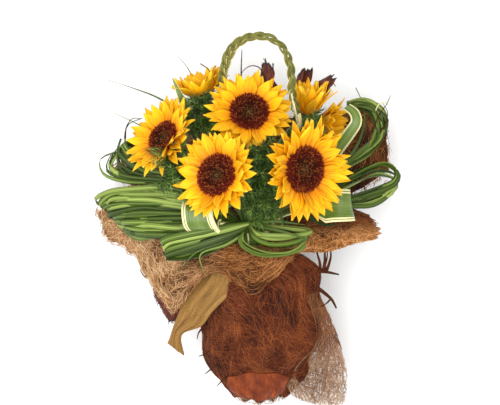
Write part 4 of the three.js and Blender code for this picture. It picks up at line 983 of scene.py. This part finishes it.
rng = np.random.default_rng(81)
plait = new_bundle()
arch = smooth_path(HANDLE_ARCH, 220)
arch_ahead = unit(np.gradient(arch, axis=0))
arch_front = unit(FRONT - (arch_ahead @ FRONT)[:, None] * arch_ahead)
arch_side = np.cross(arch_ahead, arch_front)
t = np.linspace(0, 1, len(arch))
for k in range(3):
    phase = 2 * np.pi * (t * PLAIT_CROSSINGS / 2 + k / 3)
    for ply, (aside, tone) in enumerate(((-1.3, 0.02), (1.1, 0.28))):
        drift = 0.7 * np.sin(9 * t + rng.uniform(0, 6)) + 0.5 * np.sin(31 * t + rng.uniform(0, 6))
        centre = (arch + (PLAIT_HALF_WIDTH * np.sin(phase) + aside + drift)[:, None] * arch_side
                  + (PLAIT_HALF_DEPTH * np.sin(2 * phase) + 0.5 * ply + 0.4 * drift)[:, None] * arch_front)
        add_tube(plait, centre, PLY_HALF_WIDTH, sides=8, tone=tone, flat=arch_side[0], flatten=PLY_FLATNESS)
for slot, foot, arriving in ((216, arch[0], arch_ahead[0]), (36, arch[-1], -arch_ahead[-1])):
    path = stalk_path(slot, foot + 3 * arriving, arriving)
    add_tube(plait, path, np.linspace(2.4, 5.0, len(path)), sides=12, tone=0.3)
handle = build("handle_plait", plait, plaited)
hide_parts("handle_braid")


# Bark and foot mesh. A pointed scrap of tan bark hangs from the wrap's left side, a rust coloured scrap
# closes its foot, and a pale open mesh of thin fibres runs down its right side. A place given by two numbers
# is a segment and a station of the wrap.
BARK_TAN = [
    [[6.3, 2.3], [8, 2.4], [9, 2.7]],
    [[-22, -127, 171], [-60, -131, 166], [-100, -140, 152]],
    [[-58, -168, 158], [-83, -168, 154], [-107, -162, 148]],
    [[-74, -189, 152], [-96, -191, 150], [-118, -191, 147]],
    [[-104, -203, 148], [-114, -206, 148], [-124, -209, 146]],
    [[-101, -236, 142], [-113, -227, 144], [-127, -216, 146]],
]
FOOT_MESH = [
    [[0, 4], [1, 4], [2, 4]],
    [[130, -192, 104], [1, 5], [2, 5]],
    [[143, -232, 94], [1, 6], [2, 6]],
    [[150, -268, 84], [1, 7], [2.2, 7]],
    [[151, -296, 78], [1, 8], [2.8, 8]],
    [[148, -318, 74], [106, -315, 76], [66, -304, 80]],
]
BARK_THICKNESS = 1.2
BARK_COLUMNS = 30
RUST_BULGE = 3.5
RUST_FROM, RUST_TO = 3, 7
SPECK_SIZE = 2.381


def held_point(place):
    return np.array(place, float) if len(place) == 3 else wrap_at(place[0], place[1], HELD_OUT)


def scrap_grid(rows, down, across, rng, crumple):
    guides = np.array([[held_point(place) for place in row] for row in rows])
    lengthwise = np.stack([smooth_path(guides[:, k], down) for k in range(guides.shape[1])], axis=1)
    grid = np.stack([smooth_path(row, across) for row in lengthwise])
    u, v = np.meshgrid(np.linspace(0, 1, down), np.linspace(0, 1, across), indexing="ij")
    waves = np.sin(9 * v + 4 * u + rng.uniform(0, 6)) + 0.6 * np.sin(23 * v - 7 * u + rng.uniform(0, 6))
    return grid + (crumple * waves * np.clip(3 * u, 0, 1))[..., None] * sheet_normals(grid)


def bark_material(name, size, rib, dark, middle, light):
    """Palm bark: a smooth dull skin with broad faint ribs, and dark pores drawn coarse enough to show."""
    material, shader = start_material(name, 0.7, Specular_IOR_Level=0.25)
    strip, _, _, _ = strip_values(material)
    ribs = streaks(material, strip, size, rib, detail=8.0)
    colour = add_node(material, "ValToRGB", [ribs], ramp={0.22: dark, 0.5: middle, 0.9: light})
    place = add_node(material, "TexCoord").outputs["Object"]
    specks = add_node(material, "TexNoise", {"Vector": place, "Scale": 1 / (SPECK_SIZE * MM), "Detail": 2.0})
    pores = add_node(material, "MapRange", [specks, 0.55, 0.7, 0.0, 0.6])
    speckled = add_node(material, "Mix", {SHARE: pores, FROM: colour, TO: srgb(dark)}, data_type="RGBA")
    lay_surface(material, shader, speckled, ribs, 0.8, 2)
    return material


tan_grid = scrap_grid(BARK_TAN, 40, BARK_COLUMNS, np.random.default_rng(131), 0.9)
segment, share = np.meshgrid(np.linspace(RUST_FROM, RUST_TO, BARK_COLUMNS), np.linspace(0, 1, 20))
bow = np.sin(np.pi * (segment - RUST_FROM) / (RUST_TO - RUST_FROM))
lip = 7.4 - 0.3 * bow + 0.05 * np.sin(3 * segment)
foot = 8.6 + 0.25 * bow
dents = 1 + 0.35 * np.sin(2.6 * segment + 5 * share) + 0.2 * np.sin(6.1 * segment - 3 * share)
bulge = RUST_BULGE * dents * np.sin(np.pi * share) ** 0.5
rust_grid = wrap_at(segment, lip + (foot - lip) * share, HELD_OUT + bulge)
for name, slot, grid, size, rib, colours in (
    ("bark_tan", "bark_tan", tan_grid, (153, 22.5), (61.2, 4.5), ("#5a3c1a", "#8a642e", "#b68e52")),
    ("bark_rust", "rust_bark", rust_grid, (55, 49), (22, 9.8), ("#3c1206", "#78300c", "#b05c24")),
):
    scrap = new_bundle()
    add_sheet(scrap, grid, BARK_THICKNESS)
    piece = build(f"{name}_scrap", scrap, bark_material(f"{name}_sheath", size, rib, *colours))
    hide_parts(name)

buff_fibre = fibre_material(
    "buff_mesh_fibre", ("#4c3220", "#9c7454", "#e2caae"), ("#30160a", "#7c4826", "#b4805a"),
    -0.27, -0.17, axis="Y")
rng = np.random.default_rng(97)
grid = scrap_grid(FOOT_MESH, 46, 40, rng, 0.8)
net = new_bundle()
add_strands(net, grid, 600, rng, 0.9, 0.4, 50, 0.32, fray=0.03, off=0.0)
add_strands(net, grid, 900, rng, 0.12, 0.2, 90, 0.34, fray=0.03, off=0.5, curl=0.5)
segment, share = np.meshgrid(np.linspace(2.6, 7, 24), np.linspace(0, 1, 4))
fringe = wrap_at(segment, 8.7 + 0.3 * share, HELD_OUT, -7 * share)
add_strands(net, fringe, 110, rng, 0.5, 0.5, 16, 0.26, fray=0.1, off=0.8)
piece = build("foot_mesh_net", net, buff_fibre)
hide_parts("fibre_mesh_foot")


# Fern. Feathery asparagus fern: thin stems with side branches, each set all round with fine short needles.
# Reach is the length of a branch, and count the number of them.
FERNS = {
    "left": dict(slot=144, reach=36, count=130,
                 stem=[[-60, 24, 226], [-84, 38, 244], [-104, 46, 258], [-123, 48, 260]]),
    "middle": dict(slot=72, reach=36, count=140,
                   stem=[[22, 4, 232], [20, 26, 256], [16, 50, 270], [12, 76, 272]]),
    "back_left": dict(slot=252, reach=34, count=130,
                      stem=[[-30, 96, 184], [-46, 116, 200], [-66, 132, 203], [-82, 144, 200]]),
    "right": dict(slot=54, reach=26, count=90,
                  stem=[[70, 66, 226], [74, 88, 232], [82, 106, 236], [96, 116, 234]]),
}
NEEDLE_LENGTH = 13.0
NEEDLE_RADIUS = 0.46
TUFT_STEP = 4.4
TUFT_NEEDLES = 11

# Fern needles: soft and dull, pale at the ends of their branches and darker towards the branches' roots,
# deep in the spray, down to near black. This darkening is painted shade: the dark sprays stand in for the
# shade between the heads.
fern_green, fern_shader = start_material("fern_needle", 0.6)
_, _, _, tone = strip_values(fern_green)
feed(fern_shader, "Base Color", add_node(fern_green, "ValToRGB", [tone], ramp={
    0.0: "#122004", 0.25: "#2e4c0e", 0.55: "#5e8622", 1.0: "#a8c060"}))


def add_needles(bundle, roots, directions, lengths, tones):
    """Three-sided needles, each a triangle drawn out to a point."""
    side = unit(np.cross(directions, np.array([0.31, 0.17, 0.94])))
    up = np.cross(directions, side)
    angle = np.radians([0, 120, 240])[None, :, None]
    base = roots[:, None] + NEEDLE_RADIUS * (np.cos(angle) * side[:, None] + np.sin(angle) * up[:, None])
    points = np.concatenate([base, (roots + directions * lengths[:, None])[:, None]], axis=1)
    faces = np.arange(len(roots))[:, None, None] * 4 + np.array([[0, 2, 1], [0, 1, 3], [1, 2, 3], [2, 0, 3]])
    tone = np.repeat(tones, 4)
    at_point = np.tile([0, 0, 0, 1.0], len(roots))
    strip = np.column_stack([tone * 0, at_point, tone])
    add_part(bundle, points.reshape(-1, 3), faces.reshape(-1, 3).tolist(), strip)


for name, fern in FERNS.items():
    rng = np.random.default_rng(101 + fern["slot"])
    spray = new_bundle()
    spine = smooth_path(fern["stem"], 40)
    way = stalk_path(fern["slot"], spine[0], spine[1] - spine[0])
    add_tube(spray, way, np.linspace(2.4, 1.6, len(way)), sides=7, tone=0.4)
    add_tube(spray, spine, np.linspace(1.6, 0.7, len(spine)), sides=6, tone=0.5)
    spine = np.vstack([smooth_path(way[-7:], 26)[:-1], spine])
    for i in range(fern["count"]):
        at = int(2 + (len(spine) - 3) * i / fern["count"])
        ahead = unit(spine[min(at + 1, len(spine) - 1)] - spine[at - 1])
        out = unit(np.cross(ahead, rng.normal(size=3)))
        direction = unit(out + 0.45 * ahead)
        length = fern["reach"] * rng.uniform(0.6, 1.1)
        bow = rng.normal(0, 0.16, 3)
        share = np.linspace(0, 1, 9)[:, None]
        branch = spine[at] + direction * length * share + bow * length * share ** 2
        add_tube(spray, branch, np.linspace(0.6, 0.3, 9), tone=0.6)
        where = np.repeat(np.linspace(0.1, 1.0, int(length / TUFT_STEP)), TUFT_NEEDLES)
        number = len(where)
        roots = np.column_stack([np.interp(where, share[:, 0], branch[:, axis]) for axis in range(3)])
        aside = unit(np.cross(direction, rng.normal(size=(number, 3))))
        needles = unit(aside + direction * rng.uniform(0.3, 0.9, number)[:, None])
        lengths = NEEDLE_LENGTH * rng.uniform(0.6, 1.3, number)
        # Random tones, scaled down towards each branch's root: painted shade deep in the spray.
        add_needles(spray, roots, needles, lengths, rng.uniform(0, 1, number) ** 1.4 * (0.5 + 0.5 * where))
    piece = build(f"fern_{name}_spray", spray, fern_green)
    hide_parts(f"fern_{name}")


# Twigs, tendrils and thread. Dark dry twigs and hooked thorns stick out of the fibre and the leaves, a few
# straw strands lie over the back, one thin thread is looped over the handle, and a torn scrap of dry sheath
# hangs under the collar's left side. Each row holds the radius at the root and the way from there.
DARK_TWIGS = [
    (2.0, [[-6, 110, 190], [-10, 150, 206], [-13, 190, 220], [-12, 228, 214]]),
    (1.4, [[24, 172, 192], [20, 188, 214], [14, 200, 225], [3, 203, 226], [-9, 197, 222], [-16, 186, 214]]),
    (0.9, [[-74, 207, 215], [-62, 198, 214], [-50, 175, 210]]),
    (0.8, [[-69, 179, 214], [-59, 192, 216], [-50, 205, 216]]),
    (1.2, [[-191, 98, 150], [-189, 116, 152], [-180, 128, 156], [-166, 128, 160]]),
    (0.9, [[-175, 70, 160], [-197, 64, 150], [-216, 55, 140]]),
    (0.8, [[-178, 58, 156], [-198, 50, 147], [-212, 42, 138]]),
    (1.0, [[123, 172, 170], [114, 157, 172], [105, 136, 168]]),
    (1.5, [[116, 168, 172], [118, 177, 179], [124, 181, 182], [130, 176, 176]]),
    (1.4, [[28, 200, 197], [25, 208, 201], [20, 216, 204]]),
    (1.3, [[180, 100, 160], [189, 116, 162], [198, 136, 162], [208, 149, 160], [215, 164, 156]]),
    (1.2, [[190, 96, 158], [206, 118, 160], [210, 138, 158], [203, 152, 156]]),
    (1.5, [[-148, -110, 140], [-158, -116, 132], [-166, -112, 124], [-171, -104, 116]]),
    (2.0, [[-66, -188, 122], [-74, -195, 122], [-80, -203, 120], [-82, -212, 116]]),
    (2.0, [[-62, -230, 108], [-70, -236, 110], [-80, -240, 108]]),
    (2.0, [[-50, -254, 102], [-60, -260, 104], [-71, -269, 100]]),
    (1.8, [[-36, -274, 94], [-44, -280, 96], [-52, -288, 94]]),
    (4.2, [[86, -103, 145], [104, -105, 145], [119, -107, 142], [137, -111, 134]]),
    (2.6, [[108, -105, 144], [107, -92, 149], [103, -78, 153], [101, -64, 156]]),
    (3.4, [[113, -106, 143], [115, -90, 148], [114, -68, 155]]),
    (2.8, [[117, -107, 142], [122, -92, 147], [124, -81, 151], [122, -65, 155]]),
    (1.8, [[110, -105, 143], [117, -91, 149], [119, -67, 155]]),
    (4.4, [[86, -122, 137], [107, -134, 134], [119, -143, 130], [127, -151, 126], [134, -164, 118]]),
    (1.7, [[125, -149, 127], [120, -155, 124], [110, -162, 122]]),
]
STRAW_STRANDS = [
    (0.5, [[-10, 239, 272], [0, 260, 278], [10, 266, 284], [20, 262, 288], [29, 240, 293]]),
    (1.5, [[-42, 178, 207], [-50, 166, 206], [-58, 152, 202], [-64, 138, 194]]),
    (1.8, [[60, 158, 279], [66, 134, 264], [71, 118, 244]]),
    (1.0, [[190, 136, 156], [197, 150, 160], [204, 153, 161], [211, 149, 158]]),
]
TORN_SCRAP = [
    [[-150, -132, 132], [-126, -140, 142], [-96, -142, 150]],
    [[-143, -154, 122], [-124, -164, 132], [-104, -164, 142]],
    [[-130, -180, 112], [-119, -184, 122], [-108, -180, 132]],
]
TORN_COLUMNS = 24

# Dry bark on the twigs: nearly black and dull, with browner flecks 4 mm long.
twig, twig_shader = start_material("dry_twig", 0.9, Specular_IOR_Level=0.1)
strip, _, _, _ = strip_values(twig)
flecks = streaks(twig, strip, size=(46.8, 1.86), streak=(3.9, 0.62))
feed(twig_shader, "Base Color", add_node(twig, "ValToRGB", [flecks], ramp={0.35: "#1c0a04", 0.7: "#5c3018"}))
# Bleached straw: pale, with a slight sheen and darker flecks 5 mm long.
dry_straw, straw_shader = start_material("dry_straw", 0.6)
strip, _, _, _ = strip_values(dry_straw)
flecks = streaks(dry_straw, strip, size=(52, 1.2), streak=(5.2, 0.4))
straw_colour = add_node(dry_straw, "ValToRGB", [flecks], ramp={0.3: "#b9a668", 0.7: "#efe8c4"})
feed(straw_shader, "Base Color", straw_colour)

for name, slot, material, strands, taper in (
    ("dark_twigs", "dried_red", twig, DARK_TWIGS, 0.3),
    ("straw_strands", "braid_green", dry_straw, STRAW_STRANDS, 0.8),
):
    loose = new_bundle()
    for radius, controls in strands:
        add_tube(loose, smooth_path(controls, 20), np.linspace(radius, radius * taper, 20), sides=7)
    build(name, loose, material)
rng = np.random.default_rng(111)
torn_scrap = new_bundle()
torn_grid = scrap_grid(TORN_SCRAP, TORN_COLUMNS, TORN_COLUMNS, rng, 2.0)
torn_grid[-1] += rng.uniform(-3, 3, (TORN_COLUMNS, 1)) * np.array([0.4, 1.0, 0.3])
add_sheet(torn_scrap, torn_grid, SHEET_THICKNESS)
add_strands(torn_scrap, torn_grid, 160, rng, 0.5, 0.6, 24, 0.4, fray=0.06, off=0.7)
build("torn_sheath_scrap", torn_scrap, dried)


# Floor, light and camera. A pale studio table, one broad soft light above and a camera that looks straight
# down on the bunch, as the photograph does. These sizes and places are in metres.
LIGHT_AT = (-0.35, -0.2, 2.2)
LIGHT_AIM = (0, 0.05, 0.15)
LIGHT_SIZE = 2.2
LIGHT_WATTS = 52
SKY_STRENGTH = 0.88
CAMERA_HEIGHT = 2.5
CAMERA_ACROSS, CAMERA_UP = -0.008, 0.060

bpy.ops.mesh.primitive_plane_add(size=6, location=(0, 0, -0.0005))
floor = bpy.context.active_object
floor.name = "studio_floor"
# Matt white paper: an even bright ground that only shows the bunch's soft shadow.
paper, paper_shader = start_material("studio_paper", 0.9)
feed(paper_shader, "Base Color", srgb("#fcfcfb"))
floor.data.materials.append(paper)

world = bpy.context.scene.world or bpy.data.worlds.new("studio")
bpy.context.scene.world = world
world.use_nodes = True
world.node_tree.nodes["Background"].inputs["Color"].default_value = (1, 1, 1, 1)
world.node_tree.nodes["Background"].inputs["Strength"].default_value = SKY_STRENGTH

bpy.ops.object.light_add(type="AREA", location=LIGHT_AT)
key = bpy.context.active_object
key.name = "key_light"
key.data.size = LIGHT_SIZE
key.data.energy = LIGHT_WATTS
key.rotation_euler = (Vector(LIGHT_AIM) - Vector(key.location)).to_track_quat("-Z", "Y").to_euler()

above = (tie_centre[0] + CAMERA_ACROSS, tie_centre[1] + CAMERA_UP, CAMERA_HEIGHT)
bpy.ops.object.camera_add(location=above, rotation=(0, 0, 0))
camera = bpy.context.active_object
camera.data.sensor_width = 36
camera.data.lens = 110.4
bpy.context.scene.camera = camera
bpy.context.scene.view_settings.view_transform = "Standard"
